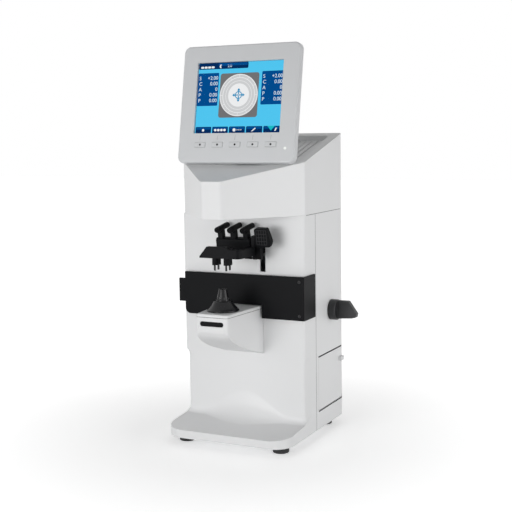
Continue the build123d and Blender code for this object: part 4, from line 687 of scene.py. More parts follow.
def screw_tree(name, metal, recess):
    """Screw heads with a crossed recess drawn as dark bars of painted shade, set on a grid."""
    tree, entry = shape_tree(name, (
        ("Columns", "Int"), ("Rows", "Int"),
        ("Width", "Float"), ("Height", "Float"), ("Radius", "Float"),
    ))
    nodes, links = tree.nodes, tree.links
    grid = nodes.new("GeometryNodeMeshGrid")
    head = nodes.new("GeometryNodeMeshCone")
    head.inputs["Vertices"].default_value = 24
    head.inputs["Depth"].default_value = SCREW_HEAD * MM
    shrink, reach = nodes.new("ShaderNodeMath"), nodes.new("ShaderNodeMath")
    for share, value in ((shrink, 0.86), (reach, 1.2)):
        share.operation = "MULTIPLY"
        share.inputs[1].default_value = value
        links.new(entry.outputs["Radius"], share.inputs[0])
    # The recess is two dark bars on the head: painted shade, not a hollow.
    marks = nodes.new("GeometryNodeJoinGeometry")
    both = nodes.new("GeometryNodeJoinGeometry")
    for long_side, height in (("X", 0.27), ("Y", 0.28)):
        size = nodes.new("ShaderNodeCombineXYZ")
        size.inputs["X"].default_value = 0.6 * MM
        size.inputs["Y"].default_value = 0.6 * MM
        size.inputs["Z"].default_value = 0.1 * MM
        bar = nodes.new("GeometryNodeMeshCube")
        place = nodes.new("GeometryNodeTransform")
        place.inputs["Translation"].default_value = (0, 0, height * MM)
        links.new(reach.outputs[0], size.inputs[long_side])
        links.new(size.outputs["Vector"], bar.inputs["Size"])
        links.new(bar.outputs["Mesh"], place.inputs["Geometry"])
        links.new(place.outputs["Geometry"], marks.inputs["Geometry"])
    for source, target in (
        ("Columns", "Vertices X"), ("Rows", "Vertices Y"),
        ("Width", "Size X"), ("Height", "Size Y"),
    ):
        links.new(entry.outputs[source], grid.inputs[target])
    links.new(entry.outputs["Radius"], head.inputs["Radius Bottom"])
    links.new(shrink.outputs[0], head.inputs["Radius Top"])
    links.new(painted(tree, marks.outputs["Geometry"], recess), both.inputs["Geometry"])
    links.new(painted(tree, head.outputs["Mesh"], metal), both.inputs["Geometry"])
    return end_tree(tree, copied(tree, grid.outputs["Mesh"], both.outputs["Geometry"]))


def grown(name, tree, values):
    """Evaluates a node tree on a blank object and returns its mesh."""
    host = bpy.data.objects.new(name, bpy.data.meshes.new(name + "_host"))
    bpy.context.scene.collection.objects.link(host)
    modifier = host.modifiers.new(name, "NODES")
    modifier.node_group = tree
    for item in tree.interface.items_tree:
        if item.item_type == "SOCKET" and item.in_out == "INPUT" and item.name in values:
            modifier[item.identifier] = values[item.name]
    mesh = evaluated_mesh(host)
    mesh.name = name
    host.modifiers.clear()
    bpy.data.objects.remove(host)
    return mesh


# Layout of the picture in screen millimetres, from its middle
LAYER = 0.12
LAYER_GAP = 0.03
HALF_WIDTH = PANE_WIDTH / 2 / MM
HALF_HEIGHT = 43.0
PANEL_TOP = 30.8
PANEL_LOW = -9.3
PANEL_INNER = 29.0
VALUE_TOP = 22.6
VALUE_PITCH = 6.85
VALUE_SIZE = 6.2
VALUE_INDENT = 1.5
VALUE_REACH = 25.8
VALUES = ("+2.00", "0.00", "0", "0.00", "0.00")
LABELS = ("S", "C", "A", "P", "P")
BAR_LOW = 35.4
BAR_RIGHT = 10.0
TILE = (-26.7, -24.1, 25.4, 29.7)
DIAL_MIDDLE = (-0.7, 2.9)
DIAL_RINGS = ((1.0, 0.0), (4.6, 3.9), (8.4, 7.9))
DIAL_CENTRE = 0.55
TICK = (2.6, 0.5)
TICK_INSET = 2.4
ARROW = ((0.6, 0.6), (0.6, 5.4), (2.1, 5.4), (0, 8.4), (-2.1, 5.4), (-0.6, 5.4), (-0.6, 0.6))
TAB_COUNT = 5
TAB_PITCH = 22.9
TAB_WIDTH = 21.4
TAB_TOP = -34.9
TAB_START = 0.8 - HALF_WIDTH
PICTURE_COLOURS = {
    "picture_deep": (0.001, 0.025, 0.11),
    "picture_grey": (0.17, 0.17, 0.175),
    "picture_pale": (0.62, 0.63, 0.64),
    "picture_white": (0.86, 0.87, 0.88),
    "picture_cyan": (0.004, 0.27, 0.52),
    "picture_teal": (0.01, 0.50, 0.55),
    "picture_figures": (0.72, 0.86, 0.95),
}

# Solids that are shown by a smooth copy of themselves, and the angle that stays an edge
SMOOTH_NODES = (
    "front_shell", "rear_cover", "hood_cover", "top_tray", "display_bezel", "display_back",
    "monitor_neck", "hinge_pin", "stage_housing", "stage_cover", "table_plate", "lever_knob",
    "lever_shaft", "lever_bush", "marker_block", "marker_handle", "marker_pens", "marker_shaft",
    "holder_arm", "pin_sockets", "holder_pin_1", "holder_pin_2", "holder_pin_3", "holder_pin_4",
    "nosepiece_crown", "read_button", "rubber_feet", "power_led", "printer_door", "power_inlet",
    "power_rocker", "data_port", "paper_roll", "lamp_housing", "lamp_optics", "measuring_window",
    "sensor_tube", "holder_rails", "soft_key_1", "soft_key_2", "soft_key_3", "soft_key_4",
    "soft_key_5",
)
SOLID_EDGE = math.radians(32)

# Bell of the lens rest's skirt, as shares of its radius and height, and its bore in millimetres
BELL = (
    (1.0, 0.0), (1.0, 0.1), (0.985, 0.15), (0.94, 0.2), (0.86, 0.33),
    (0.77, 0.48), (0.69, 0.64), (0.63, 0.8), (0.59, 0.95), (0.57, 1.0),
)
SKIRT_BORE = 6.4
SKIRT_EDGE = math.radians(40)

# Parting lines in millimetres: half their width, how far they stand proud, how deep they reach
LINE_HALF = 0.3
LINE_PROUD = 0.05
LINE_SINK = 0.2
SIDE_ROUND = 7.0
COLUMN_ROUND = 4.5
BACK_ROUND = 5.0
STAGE_SPLIT = 166.0
STAGE_SIDE = 27.6
REST_CLEAR = 18.0
SILL_FRONT = 41.5
SILL_BACK = 118.5
SILL_TOP = 33.0
SILL_WIDTH = 1.1

# Small fittings in millimetres
KEY_COUNT = 5
GRIP_NORMAL = Vector((0, -math.cos(math.radians(9)), -math.sin(math.radians(9))))
GRIP_FIELD = (32.5, 247.5, 45.5, 265.0)
GRIP_LINES = 4
GRIP_HALF = 0.25
RIB = (1.4, 98, 1.2)
RIB_RISE = 0.3
SCREW_HEAD = 0.3
SCREW_SINK = 0.05
REAR_SCREWS = (146, 236, 146)
TABLE_SCREWS = (41, 79, 181.3)


# Operators
class LENSMETER_OT_finishes(bpy.types.Operator):
    """Give every solid of the instrument its finish"""

    bl_idname = "lensmeter.finishes"
    bl_label = "Finish the solids"

    def execute(self, context):
        finish = context.scene.lensmeter_finish
        by_slot = {
            "housing_white": moulded(
                "housing_white", finish.housing, 0.42, 1100.0, 0.02, coat=0.05,
            ),
            "bezel_grey": moulded("bezel_grey", finish.bezel, 0.36, 1100.0, 0.02, coat=0.08),
            "black_plastic": moulded(
                "black_plastic", finish.black, 0.42, 700.0, 0.1, wear=0.02, shine=0.07,
            ),
            "gloss_black": moulded(
                "gloss_black", (0.004, 0.004, 0.005), 0.22, 500.0, 0.1, shine=0.3,
            ),
            "rubber": moulded("rubber", (0.022, 0.022, 0.023), 0.7, 1500.0, 0.2),
            "sheet_steel": brushed("sheet_steel", (0.62, 0.63, 0.64), 0.38),
            "steel": brushed("steel", (0.72, 0.73, 0.74), 0.22),
            "aluminium": moulded("aluminium", (0.62, 0.63, 0.64), 0.36, 1200.0, 0.06, metallic=1.0),
            "glass": clear_glass("glass", (0.82, 0.9, 0.94), 0.28),
            "paper": moulded("paper", (0.86, 0.85, 0.82), 0.8, 1800.0, 0.04),
            "circuit_board": circuit_board_finish(),
            "screen": lit("screen_ground", (0.02, 0.05, 0.08), 0.4),
            "led": lit("led_white", (0.9, 0.92, 0.9), 1.0),
        }
        for node, slot in SLOT_OF.items():
            mesh = NODES[node].data
            mesh.materials.clear()
            mesh.materials.append(by_slot[slot])
        NODES["lever_knob"].data.materials[0] = moulded(
            "lever_black", (0.016, 0.0165, 0.018), 0.38, 700.0, 0.1, wear=0.03, shine=0.4,
        )
        return {"FINISHED"}


class LENSMETER_OT_smooth(bpy.types.Operator):
    """Shade the rounded solids smooth"""

    bl_idname = "lensmeter.smooth"
    bl_label = "Smooth solids"

    def execute(self, context):
        for node in SMOOTH_NODES:
            piece = add_piece(
                node + "_look", smooth_copy(node), body_of(node), SLOT_OF[node], finish_of(node),
            )
            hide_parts(node)
        return {"FINISHED"}


class LENSMETER_OT_skirt(bpy.types.Operator):
    """Turn the bell-shaped skirt that carries the lens rest"""

    bl_idname = "lensmeter.skirt"
    bl_label = "Lens rest's skirt"

    def execute(self, context):
        low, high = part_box("nosepiece_cone")
        radius = (high.x - low.x) / 2 / MM
        foot, height = low.z / MM, (high.z - low.z) / MM
        profile = [(radius * across, foot + height * up) for across, up in BELL]
        profile += [(SKIRT_BORE, foot + height), (SKIRT_BORE, foot)]
        bm = bmesh.new()
        lathe(bm, profile, 0, (low.y + high.y) / 2 / MM)
        for face in bm.faces:
            face.smooth = True
        for edge in bm.edges:
            edge.smooth = edge.calc_face_angle(0.0) < SKIRT_EDGE
        mesh = mesh_from("nosepiece_skirt", bm)
        black = finish_of("nosepiece_cone")
        skirt = add_piece("nosepiece_skirt", mesh, "housing", "black_plastic", black)
        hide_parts("nosepiece_cone")
        return {"FINISHED"}


class LENSMETER_OT_seams(bpy.types.Operator):
    """Draw the dark parting lines between the covers and round the printer's door, where the top
    and bottom gaps are drawn wider and darker with painted shade
    """

    bl_idname = "lensmeter.seams"
    bl_label = "Parting lines"

    def execute(self, context):
        line = moulded("parting_line", (0.16, 0.16, 0.165), 0.8, 900.0, 0.2, shine=0.1)
        # The door's gaps are part real gap and part painted shade, so they are darker and wider
        # than the other lines.
        gap_and_shade = moulded("door_gap", (0.035, 0.035, 0.037), 0.8, 900.0, 0.2, shine=0.1)
        shell_low, shell_high = (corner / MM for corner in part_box("front_shell"))
        side = shell_high.x
        add_piece("parting_lines", self.covers(shell_low, shell_high), "housing", "rubber", line)
        add_piece("stage_line", self.stage(), "housing", "rubber", line)
        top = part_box("printer_door")[1].z / MM
        bm = bmesh.new()
        block(
            bm, (side - 1.5, SILL_FRONT + 0.5, top + LINE_PROUD),
            (side - LINE_PROUD, SILL_BACK - 0.5, top + 1.5),
        )
        add_piece("door_lip", mesh_from("door_lip", bm), "door", "rubber", gap_and_shade)
        # Dark strip under the door: the real gap with painted shade in it.
        bm = bmesh.new()
        block(
            bm, (side - LINE_SINK, SILL_FRONT, SILL_TOP - SILL_WIDTH),
            (side + LINE_PROUD, SILL_BACK, SILL_TOP),
        )
        add_piece("door_sill", mesh_from("door_sill", bm), "housing", "rubber", gap_and_shade)
        return {"FINISHED"}

    def covers(self, low, high):
        """Lines between the front moulding, the rear cover and the hood, and across the column."""
        side, seam, top = high
        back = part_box("rear_cover")[1].y / MM
        bm = bmesh.new()
        for hand in (-1, 1):
            inner, outer = sorted((hand * (side - LINE_SINK), hand * (side + LINE_PROUD)))
            block(bm, (inner, seam - LINE_HALF, low.z + 0.4), (outer, seam + LINE_HALF, top - 0.4))
            block(
                bm, (inner, SIDE_ROUND, top - LINE_HALF),
                (outer, back - SIDE_ROUND, top + LINE_HALF),
            )
            left, right = sorted((hand * STAGE_SIDE, hand * (side - COLUMN_ROUND)))
            block(bm, (left, -LINE_PROUD, STAGE_SPLIT - 0.2), (right, 0.1, STAGE_SPLIT + 0.2))
        block(
            bm, (BACK_ROUND - side, back - 0.1, top - LINE_HALF),
            (side - BACK_ROUND, back + LINE_PROUD, top + LINE_HALF),
        )
        return mesh_from("parting_lines", bm)

    def stage(self):
        """Line under the lens stage's cover."""
        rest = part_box("nosepiece_cone")
        middle = (rest[0] + rest[1]) / 2 / MM
        band = wall_band(
            "stage_cover", STAGE_SPLIT, STAGE_SPLIT + 0.45, LINE_PROUD,
            lambda place: (place - middle).to_2d().length > REST_CLEAR and place.y < -0.5,
        )
        return mesh_from("stage_line", band)


class LENSMETER_OT_picture(bpy.types.Operator):
    """Lay out the lit picture's ground, panels, tabs and tile"""

    bl_idname = "lensmeter.picture"
    bl_label = "Lit picture"

    def execute(self, context):
        ground = rounded_outline(-HALF_WIDTH, -HALF_HEIGHT, HALF_WIDTH, HALF_HEIGHT, 0.4)
        picture_plate("picture_ground", [ground], 0, "picture_sky")
        panels = [
            rounded_outline(-HALF_WIDTH, PANEL_LOW, -PANEL_INNER, PANEL_TOP, 1.2),
            rounded_outline(PANEL_INNER, PANEL_LOW, HALF_WIDTH, PANEL_TOP, 1.2),
        ]
        picture_plate("picture_panels", panels, 1, "picture_navy")
        starts = [TAB_START + TAB_PITCH * i for i in range(TAB_COUNT)]
        tabs = [rounded_outline(x, -HALF_HEIGHT, x + TAB_WIDTH, TAB_TOP, 1.2) for x in starts]
        tabs.append(rounded_outline(-HALF_WIDTH, BAR_LOW, BAR_RIGHT, HALF_HEIGHT, 1.6))
        picture_plate("picture_tabs", tabs, 1, "picture_deep")
        shine = [
            rounded_outline(x + 1.0, TAB_TOP - 3.4, x + TAB_WIDTH - 1.0, TAB_TOP - 0.6, 0.9)
            for x in starts
        ]
        shine.append(
            rounded_outline(27 - HALF_WIDTH, 39.2, BAR_RIGHT - 1.0, HALF_HEIGHT - 0.6, 1.2),
        )
        picture_plate("picture_shine", shine, 2, "picture_navy")
        picture_plate("picture_tile", [rounded_outline(*TILE, 3.0)], 1, "picture_grey")
        return {"FINISHED"}


class LENSMETER_OT_dial(bpy.types.Operator):
    """Draw the picture's round dial with its rings, marks and target"""

    bl_idname = "lensmeter.dial"
    bl_label = "Dial"

    def execute(self, context):
        look = context.scene.lensmeter_picture
        radius = look.dial / MM
        white = picture_finish("picture_white")
        picture_plate("picture_dial", [circle(*DIAL_MIDDLE, radius, 48)], 2, "picture_pale")
        low, high = LAYER * 3, LAYER * 4 - LAYER_GAP
        bm = bmesh.new()
        for inner, outer in DIAL_RINGS:
            ring(bm, *DIAL_MIDDLE, radius - inner, radius - outer, low, high)
        plate(bm, circle(*DIAL_MIDDLE, radius * DIAL_CENTRE, 48), low, high)
        picture_piece("picture_rings", mesh_from("picture_rings", bm), white)
        ticks = grown("picture_ticks", tick_tree(white), {
            "Count": look.ticks, "Radius": radius - TICK_INSET,
        })
        ticks.transform(Matrix.Translation((*DIAL_MIDDLE, LAYER * 4.5)))
        picture_piece("picture_ticks", ticks, white)
        self.target(*DIAL_MIDDLE)
        return {"FINISHED"}

    def target(self, cx, cy):
        """Crossed arrows and ring in the middle of the dial."""
        bm = bmesh.new()
        low, high = LAYER * 4, LAYER * 5 - LAYER_GAP
        ring(bm, cx, cy, 3.6, 4.7, low, high)
        for quarter in range(4):
            c, s = math.cos(quarter * math.pi / 2), math.sin(quarter * math.pi / 2)
            arrow = [(cx + c * x - s * y, cy + s * x + c * y) for x, y in ARROW]
            plate(bm, arrow, high, high + LAYER)
        mesh = mesh_from("picture_target", bm)
        picture_piece("picture_target", mesh, picture_finish("picture_cyan"))


class LENSMETER_OT_values(bpy.types.Operator):
    """Write the generic figures on the picture's panels"""

    bl_idname = "lensmeter.values"
    bl_label = "Figures"

    def execute(self, context):
        rows = []
        for i, (label, value) in enumerate(zip(LABELS, VALUES)):
            y = VALUE_TOP - i * VALUE_PITCH
            for edge in (-HALF_WIDTH, PANEL_INNER):
                left = edge + VALUE_INDENT
                rows.append((label, left, y, VALUE_SIZE, "LEFT"))
                rows.append((value, left + VALUE_REACH, y, VALUE_SIZE, "RIGHT"))
        rows.append(("2.0", -18.0, 37.3, 4.8, "LEFT"))
        mesh = words_mesh("picture_values", rows, 2)
        picture_piece("picture_values", mesh, picture_finish("picture_figures"))
        return {"FINISHED"}


class LENSMETER_OT_icons(bpy.types.Operator):
    """Set the small plain marks on the tabs and the top bar"""

    bl_idname = "lensmeter.icons"
    bl_label = "Tab marks"

    def execute(self, context):
        middle = TAB_TOP - 4.2
        tab = [TAB_START + TAB_PITCH * i for i in range(TAB_COUNT)]
        marks = [circle(tab[0] + 10.5, middle, 1.6, 20)]
        for k in range(4):
            x = tab[1] + 4.4 + k * 4.2
            marks.append(rounded_outline(x - 1.7, middle - 1.4, x + 1.7, middle + 1.4, 1.2, 3))
        marks.append(circle(tab[2] + 7, middle, 2.0, 20))
        for k in range(3):
            x = tab[2] + 11 + k * 2.6
            marks.append(rounded_outline(x - 0.6, middle - 0.6, x + 0.6, middle + 0.6, 0.4, 3))
        pencil = ((-3.2, -2.0), (-1.4, -2.0), (3.2, 1.6), (1.6, 2.2))
        marks.append([(tab[3] + 10 + x, middle + y) for x, y in pencil])
        stroke = ((-1.6, -1.8), (0, -1.8), (1.8, 1.8), (0.2, 2.0))
        marks.append([(tab[4] + 16 + x, middle + y) for x, y in stroke])
        for k in range(4):
            x = -HALF_WIDTH + 5.0 + k * 4.8
            marks.append(rounded_outline(x - 2.1, 36.6, x + 2.1, 39.0, 1.0, 3))
        crescent = ((0, 36.4), (1.6, 36.4), (0.7, 38.6), (1.6, 40.8), (0, 40.8), (-1.2, 38.6))
        marks.append([(-HALF_WIDTH + 29.5 + x, y) for x, y in crescent])
        picture_plate("picture_icons", marks, 3, "picture_white")
        triangle = [(45.2, TAB_TOP - 5.6), (50.0, TAB_TOP), (40.4, TAB_TOP)]
        picture_plate("picture_arrow", [triangle], 4, "picture_teal")
        return {"FINISHED"}


class LENSMETER_OT_pane(bpy.types.Operator):
    """Lay the clear pane over the picture"""

    bl_idname = "lensmeter.pane"
    bl_label = "Clear pane"

    def execute(self, context):
        bm = bmesh.new()
        outline = rounded_outline(
            -HALF_WIDTH, 0.1 - HALF_HEIGHT, HALF_WIDTH, HALF_HEIGHT - 0.1, 0.5,
        )
        plate(bm, outline, LAYER * 7, PANE_THICKNESS / MM - 0.1)
        clear = clear_glass("pane_glass", (0.01, 0.012, 0.014), 0.02, 0.05)
        pane = picture_piece("display_pane", mesh_from("display_pane", bm), clear, "glass")
        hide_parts("screen_glass")
        return {"FINISHED"}


class LENSMETER_OT_key_marks(bpy.types.Operator):
    """Print the dots on the keys and the faint lines above them"""

    bl_idname = "lensmeter.key_marks"
    bl_label = "Key marks"

    def execute(self, context):
        ink = moulded("key_ink", (0.03, 0.03, 0.033), 0.6, 900.0, 0.2, shine=0.2)
        faint = moulded("faint_ink", (0.42, 0.43, 0.44), 0.5, 900.0, 0.1)
        radius = context.scene.lensmeter_fittings.key_dot / MM
        front = screen_box("display_bezel")[1].z
        lines = bmesh.new()
        for number in range(1, KEY_COUNT + 1):
            key = "soft_key_%d" % number
            low, high = screen_box(key)
            x, y = (low.x + high.x) / 2, (low.y + high.y) / 2
            dot = bmesh.new()
            plate(dot, circle(x, y, radius, 24), high.z - 0.1, high.z + 0.05)
            mesh = mesh_from("key_mark_%d" % number, dot)
            mesh.transform(screen_turn())
            add_piece("key_mark_%d" % number, mesh, body_of(key), "rubber", ink)
            y = high.y + 1.6
            bent = ((-0.9, 0), (-0.55, 0), (-0.35, 2.6), (0.25, 5.4), (-0.1, 5.5), (-0.7, 2.7))
            plate(lines, [(x + across, y + up) for across, up in bent], front - 0.1, front + 0.03)
        mesh = mesh_from("key_lines", lines)
        mesh.transform(screen_turn())
        add_piece("key_lines", mesh, "display", "bezel_grey", faint)
        return {"FINISHED"}


class LENSMETER_OT_grip(bpy.types.Operator):
    """Cross the marker's grip with fine lines"""

    bl_idname = "lensmeter.grip"
    bl_label = "Grip lines"

    def execute(self, context):
        finish = moulded("grip_lines", (0.035, 0.036, 0.038), 0.5, 900.0, 0.1, shine=0.3)
        up = Vector((0, GRIP_NORMAL.z, -GRIP_NORMAL.y))
        front = max(vert.co.dot(GRIP_NORMAL) for vert in NODES["marker_handle"].data.vertices) / MM
        left, low, right, high = GRIP_FIELD
        bm = bmesh.new()
        for k in range(GRIP_LINES + 1):
            x = left + (right - left) * k / GRIP_LINES
            y = low + (high - low) * k / GRIP_LINES
            upright = rounded_outline(x - GRIP_HALF, low, x + GRIP_HALF, high, 0.1, 2)
            level = rounded_outline(left, y - GRIP_HALF, right, y + GRIP_HALF, 0.1, 2)
            plate(bm, upright, front - 0.1, front + 0.05)
            plate(bm, level, front - 0.12, front + 0.04)
        mesh = mesh_from("grip_grid", bm)
        turn = Matrix(((1, 0, 0), (0, up.y, GRIP_NORMAL.y), (0, up.z, GRIP_NORMAL.z))).to_4x4()
        mesh.transform(turn @ Matrix.Scale(MM, 4))
        add_piece("grip_grid", mesh, "marker", "black_plastic", finish)
        return {"FINISHED"}


class LENSMETER_OT_tray(bpy.types.Operator):
    """Lay low ribs along the floor of the top tray"""

    bl_idname = "lensmeter.tray"
    bl_label = "Tray ribs"

    def execute(self, context):
        size = context.scene.lensmeter_fittings
        floor = max(
            (face for face in NODES["top_tray"].data.polygons if face.normal.z > 0.9),
            key=lambda face: face.area,
        )
        finish = moulded("tray_rib", (0.70, 0.705, 0.71), 0.5, 900.0, 0.03)
        mesh = grown("tray_ribs", rib_tree(finish), {"Count": size.ribs, "Pitch": size.rib_pitch})
        low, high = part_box("top_tray")
        slope = math.atan2(-floor.normal.y, floor.normal.z)
        middle_y = (low.y + high.y) / 2
        middle_z = (floor.center.dot(floor.normal) - floor.normal.y * middle_y) / floor.normal.z
        mesh.transform(
            Matrix.Translation((0, middle_y, middle_z + RIB_RISE * MM))
            @ Matrix.Rotation(slope, 4, "X")
            @ Matrix.Translation((-size.rib_pitch * (size.ribs - 1) / 2, 0, 0))
        )
        add_piece("tray_ribs", mesh, "housing", "housing_white", finish)
        return {"FINISHED"}


class LENSMETER_OT_screws(bpy.types.Operator):
    """Set the rear cover's four screws and the lens table's two"""

    bl_idname = "lensmeter.screws"
    bl_label = "Screws"

    def execute(self, context):
        size = context.scene.lensmeter_fittings
        steel = moulded("screw_steel", (0.5, 0.5, 0.51), 0.35, 900.0, 0.1, metallic=1.0)
        black = moulded("screw_black", (0.02, 0.02, 0.021), 0.35, 900.0, 0.1, metallic=0.6)
        # Near-black finish for the screws' recesses: painted shade.
        painted_recess_shade = moulded("screw_recess", (0.01, 0.01, 0.01), 0.8, 900.0, 0.1)
        width, height, middle = (length * MM for length in REAR_SCREWS)
        mesh = grown("rear_screws", screw_tree("rear_screws", steel, painted_recess_shade), {
            "Columns": 2, "Rows": 2, "Width": width, "Height": height, "Radius": size.rear_screw,
        })
        place = Vector((0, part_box("rear_cover")[1].y + SCREW_SINK * MM, middle))
        mesh.transform(Matrix.Translation(place) @ Matrix.Rotation(math.radians(-90), 4, "X"))
        add_piece("rear_screws", mesh, "housing", "steel")
        height, side, middle = (length * MM for length in TABLE_SCREWS)
        mesh = grown("table_screws", screw_tree("table_screws", black, painted_recess_shade), {
            "Columns": 1, "Rows": 2, "Width": 0.0, "Height": height, "Radius": size.table_screw,
        })
        place = Vector((side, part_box("table_plate")[0].y - SCREW_SINK * MM, middle))
        mesh.transform(Matrix.Translation(place) @ Matrix.Rotation(math.radians(90), 4, "X"))
        add_piece("table_screws", mesh, "table", "black_plastic")
        return {"FINISHED"}


# Stage, in metres
CAMERA_PLACE = Vector((0.5758, -1.1276, 0.3836))
CAMERA_YAW = math.radians(26.29)
CAMERA_PITCH = math.radians(6.97)
CAMERA_ROLL = math.radians(-0.85)
SENSOR = 36

# Lamps: place, size across, height aimed at and spread in degrees
LAMPS = {
    "key": ((-0.35, -1.45, 0.14), 0.8, 0.06, 75),
    "front": ((-0.7, -1.7, 0.55), 1.2, 0.3, 180),
    "fill": ((1.2, -0.05, 0.10), 0.8, 0.05, 90),
}

# Floor's glow near the instrument and away from it, lowered near the instrument as a painted shade
# round its shadow, and how the sky falls off to its top
GLOW_REACH = (0.14, 0.5)
GLOW_LEVEL_WITH_PAINTED_SHADE = (0.42, 0.80)
SKY_HEIGHTS = (0.05, 0.85)
SKY_TOP_SHARE = 0.45


def graded(nodes, reach, levels):
    """Map Range node between two pairs of values."""
    span = nodes.new("ShaderNodeMapRange")
    span.inputs["From Min"].default_value, span.inputs["From Max"].default_value = reach
    span.inputs["To Min"].default_value, span.inputs["To Max"].default_value = levels
    return span


def seen_rays(nodes, links):
    """One for rays from the camera, a reflection or a clear pane, and else zero."""
    path = nodes.new("ShaderNodeLightPath")
    mirrored = nodes.new("ShaderNodeMath")
    mirrored.operation = "MAXIMUM"
    seen = nodes.new("ShaderNodeMath")
    seen.operation = "MAXIMUM"
    links.new(path.outputs["Is Glossy Ray"], mirrored.inputs[0])
    links.new(path.outputs["Is Transmission Ray"], mirrored.inputs[1])
    links.new(path.outputs["Is Camera Ray"], seen.inputs[0])
    links.new(mirrored.outputs[0], seen.inputs[1])
    return seen.outputs[0]


class LENSMETER_OT_stage(bpy.types.Operator):
    """Set the floor, surrounding light, lamps and camera"""

    bl_idname = "lensmeter.stage"
    bl_label = "Stage"

    def execute(self, context):
        look = context.scene.lensmeter_stage
        self.floor()
        self.world(look.world)
        for name, power in (("key", look.key), ("front", look.front), ("fill", look.fill)):
            self.lamp(name + "_lamp", power, *LAMPS[name])
        self.camera(look.lens)
        context.scene.view_settings.view_transform = "Standard"
        return {"FINISHED"}

    def floor(self):
        """Pale floor that stays white to the camera and keeps the shadow; its glow is lowered near
        the instrument, a painted shade round it.
        """
        bm = bmesh.new()
        bmesh.ops.create_grid(bm, x_segments=1, y_segments=1, size=6)
        mesh = bpy.data.meshes.new("floor")
        bm.to_mesh(mesh)
        bm.free()
        floor = bpy.data.objects.new("floor", mesh)
        bpy.context.scene.collection.objects.link(floor)
        material, shader = blank_material("floor_white")
        nodes, links = material.node_tree.nodes, material.node_tree.links
        shader.inputs["Base Color"].default_value = (0.9, 0.9, 0.9, 1)
        shader.inputs["Roughness"].default_value = 0.7
        shader.inputs["Specular IOR Level"].default_value = 0.1
        place = nodes.new("ShaderNodeTexCoord")
        away = nodes.new("ShaderNodeVectorMath")
        away.operation = "LENGTH"
        # The glow is weaker near the instrument: painted shade on the floor round it.
        level = graded(nodes, GLOW_REACH, GLOW_LEVEL_WITH_PAINTED_SHADE)
        strength = nodes.new("ShaderNodeMath")
        strength.operation = "MULTIPLY"
        glow = nodes.new("ShaderNodeEmission")
        both = nodes.new("ShaderNodeAddShader")
        links.new(place.outputs["Object"], away.inputs[0])
        links.new(away.outputs["Value"], level.inputs["Value"])
        links.new(seen_rays(nodes, links), strength.inputs[0])
        links.new(level.outputs["Result"], strength.inputs[1])
        links.new(strength.outputs[0], glow.inputs["Strength"])
        links.new(shader.outputs["BSDF"], both.inputs[0])
        links.new(glow.outputs["Emission"], both.inputs[1])
        links.new(both.outputs[0], nodes["Material Output"].inputs["Surface"])
        mesh.materials.append(material)

    def world(self, strength):
        """Soft surrounding light, dimmer from above, and white to the camera and in reflections."""
        world = bpy.data.worlds.new("studio")
        bpy.context.scene.world = world
        world.use_nodes = True
        nodes, links = world.node_tree.nodes, world.node_tree.links
        back = nodes["Background"]
        back.inputs["Color"].default_value = (1, 1, 1, 1)
        direction = nodes.new("ShaderNodeTexCoord")
        height = nodes.new("ShaderNodeSeparateXYZ")
        sky = graded(nodes, SKY_HEIGHTS, (strength, strength * SKY_TOP_SHARE))
        level = nodes.new("ShaderNodeMapRange")
        level.inputs["To Max"].default_value = 1.0
        links.new(direction.outputs["Generated"], height.inputs["Vector"])
        links.new(height.outputs["Z"], sky.inputs["Value"])
        links.new(sky.outputs["Result"], level.inputs["To Min"])
        links.new(seen_rays(nodes, links), level.inputs["Value"])
        links.new(level.outputs["Result"], back.inputs["Strength"])

    def lamp(self, name, power, place, size, aim_height, spread):
        """Large square lamp aimed at a height over the frame's origin."""
        data = bpy.data.lights.new(name, "AREA")
        data.shape = "SQUARE"
        data.size = size
        data.energy = power
        data.spread = math.radians(spread)
        lamp = bpy.data.objects.new(name, data)
        bpy.context.scene.collection.objects.link(lamp)
        lamp.location = place
        aim = Vector((0, 0, aim_height)) - Vector(place)
        lamp.rotation_euler = aim.to_track_quat("-Z", "Y").to_euler()

    def camera(self, lens):
        """Camera at the photograph's angle."""
        data = bpy.data.cameras.new("camera")
        data.lens = lens
        data.sensor_width = SENSOR
        camera = bpy.data.objects.new("camera", data)
        bpy.context.scene.collection.objects.link(camera)
        forward = Vector((
            -math.sin(CAMERA_YAW) * math.cos(CAMERA_PITCH),
            math.cos(CAMERA_YAW) * math.cos(CAMERA_PITCH),
            -math.sin(CAMERA_PITCH),
        ))
        right = Vector((math.cos(CAMERA_YAW), math.sin(CAMERA_YAW), 0))
        up = right.cross(forward)
        c, s = math.cos(CAMERA_ROLL), math.sin(CAMERA_ROLL)
        image_right = right * c + up * s
        image_up = up * c - right * s
        camera.matrix_world = Matrix((
            (image_right.x, image_up.x, -forward.x, CAMERA_PLACE.x),
            (image_right.y, image_up.y, -forward.y, CAMERA_PLACE.y),
            (image_right.z, image_up.z, -forward.z, CAMERA_PLACE.z),
            (0, 0, 0, 1),
        ))
        bpy.context.scene.camera = camera


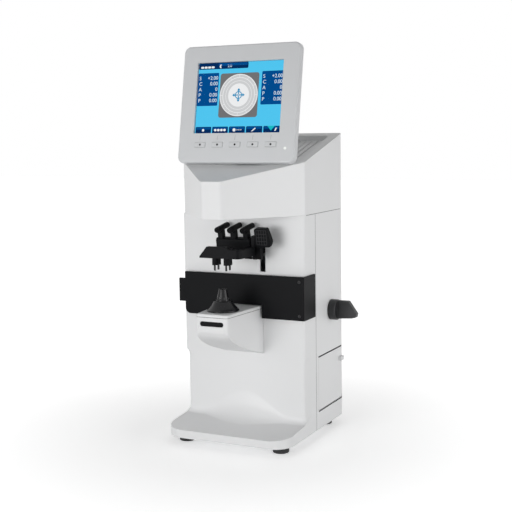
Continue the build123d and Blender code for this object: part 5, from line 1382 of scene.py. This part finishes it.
class LENSMETER_PT_panel(bpy.types.Panel):
    """Lists the steps and the values of the dressing"""

    bl_label = "Lensmeter"
    bl_idname = "LENSMETER_PT_panel"
    bl_space_type = "VIEW_3D"
    bl_region_type = "UI"
    bl_category = "Lensmeter"

    def draw(self, context):
        for operator in OPERATORS:
            self.layout.operator(operator.bl_idname)
        scene = context.scene
        for group in (
            scene.lensmeter_finish, scene.lensmeter_picture,
            scene.lensmeter_fittings, scene.lensmeter_stage,
        ):
            box = self.layout.box()
            for key in group.__annotations__:
                box.prop(group, key)


OPERATORS = (
    LENSMETER_OT_finishes,
    LENSMETER_OT_smooth,
    LENSMETER_OT_skirt,
    LENSMETER_OT_seams,
    LENSMETER_OT_picture,
    LENSMETER_OT_dial,
    LENSMETER_OT_values,
    LENSMETER_OT_icons,
    LENSMETER_OT_pane,
    LENSMETER_OT_key_marks,
    LENSMETER_OT_grip,
    LENSMETER_OT_tray,
    LENSMETER_OT_screws,
    LENSMETER_OT_stage,
)
GROUPS = (LensmeterFinish, LensmeterPicture, LensmeterFittings, LensmeterStage)
CLASSES = (*GROUPS, *OPERATORS, LENSMETER_PT_panel)


def register():
    for item in CLASSES:
        bpy.utils.register_class(item)
    bpy.types.Scene.lensmeter_finish = PointerProperty(type=LensmeterFinish)
    bpy.types.Scene.lensmeter_picture = PointerProperty(type=LensmeterPicture)
    bpy.types.Scene.lensmeter_fittings = PointerProperty(type=LensmeterFittings)
    bpy.types.Scene.lensmeter_stage = PointerProperty(type=LensmeterStage)


def unregister():
    del bpy.types.Scene.lensmeter_stage
    del bpy.types.Scene.lensmeter_fittings
    del bpy.types.Scene.lensmeter_picture
    del bpy.types.Scene.lensmeter_finish
    for item in reversed(CLASSES):
        bpy.utils.unregister_class(item)


def main():
    """Registers the add-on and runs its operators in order."""
    register()
    bpy.ops.lensmeter.finishes()
    bpy.ops.lensmeter.smooth()
    bpy.ops.lensmeter.skirt()
    bpy.ops.lensmeter.seams()
    bpy.ops.lensmeter.picture()
    bpy.ops.lensmeter.dial()
    bpy.ops.lensmeter.values()
    bpy.ops.lensmeter.icons()
    bpy.ops.lensmeter.pane()
    bpy.ops.lensmeter.key_marks()
    bpy.ops.lensmeter.grip()
    bpy.ops.lensmeter.tray()
    bpy.ops.lensmeter.screws()
    bpy.ops.lensmeter.stage()


if __name__ == "__main__":
    main()
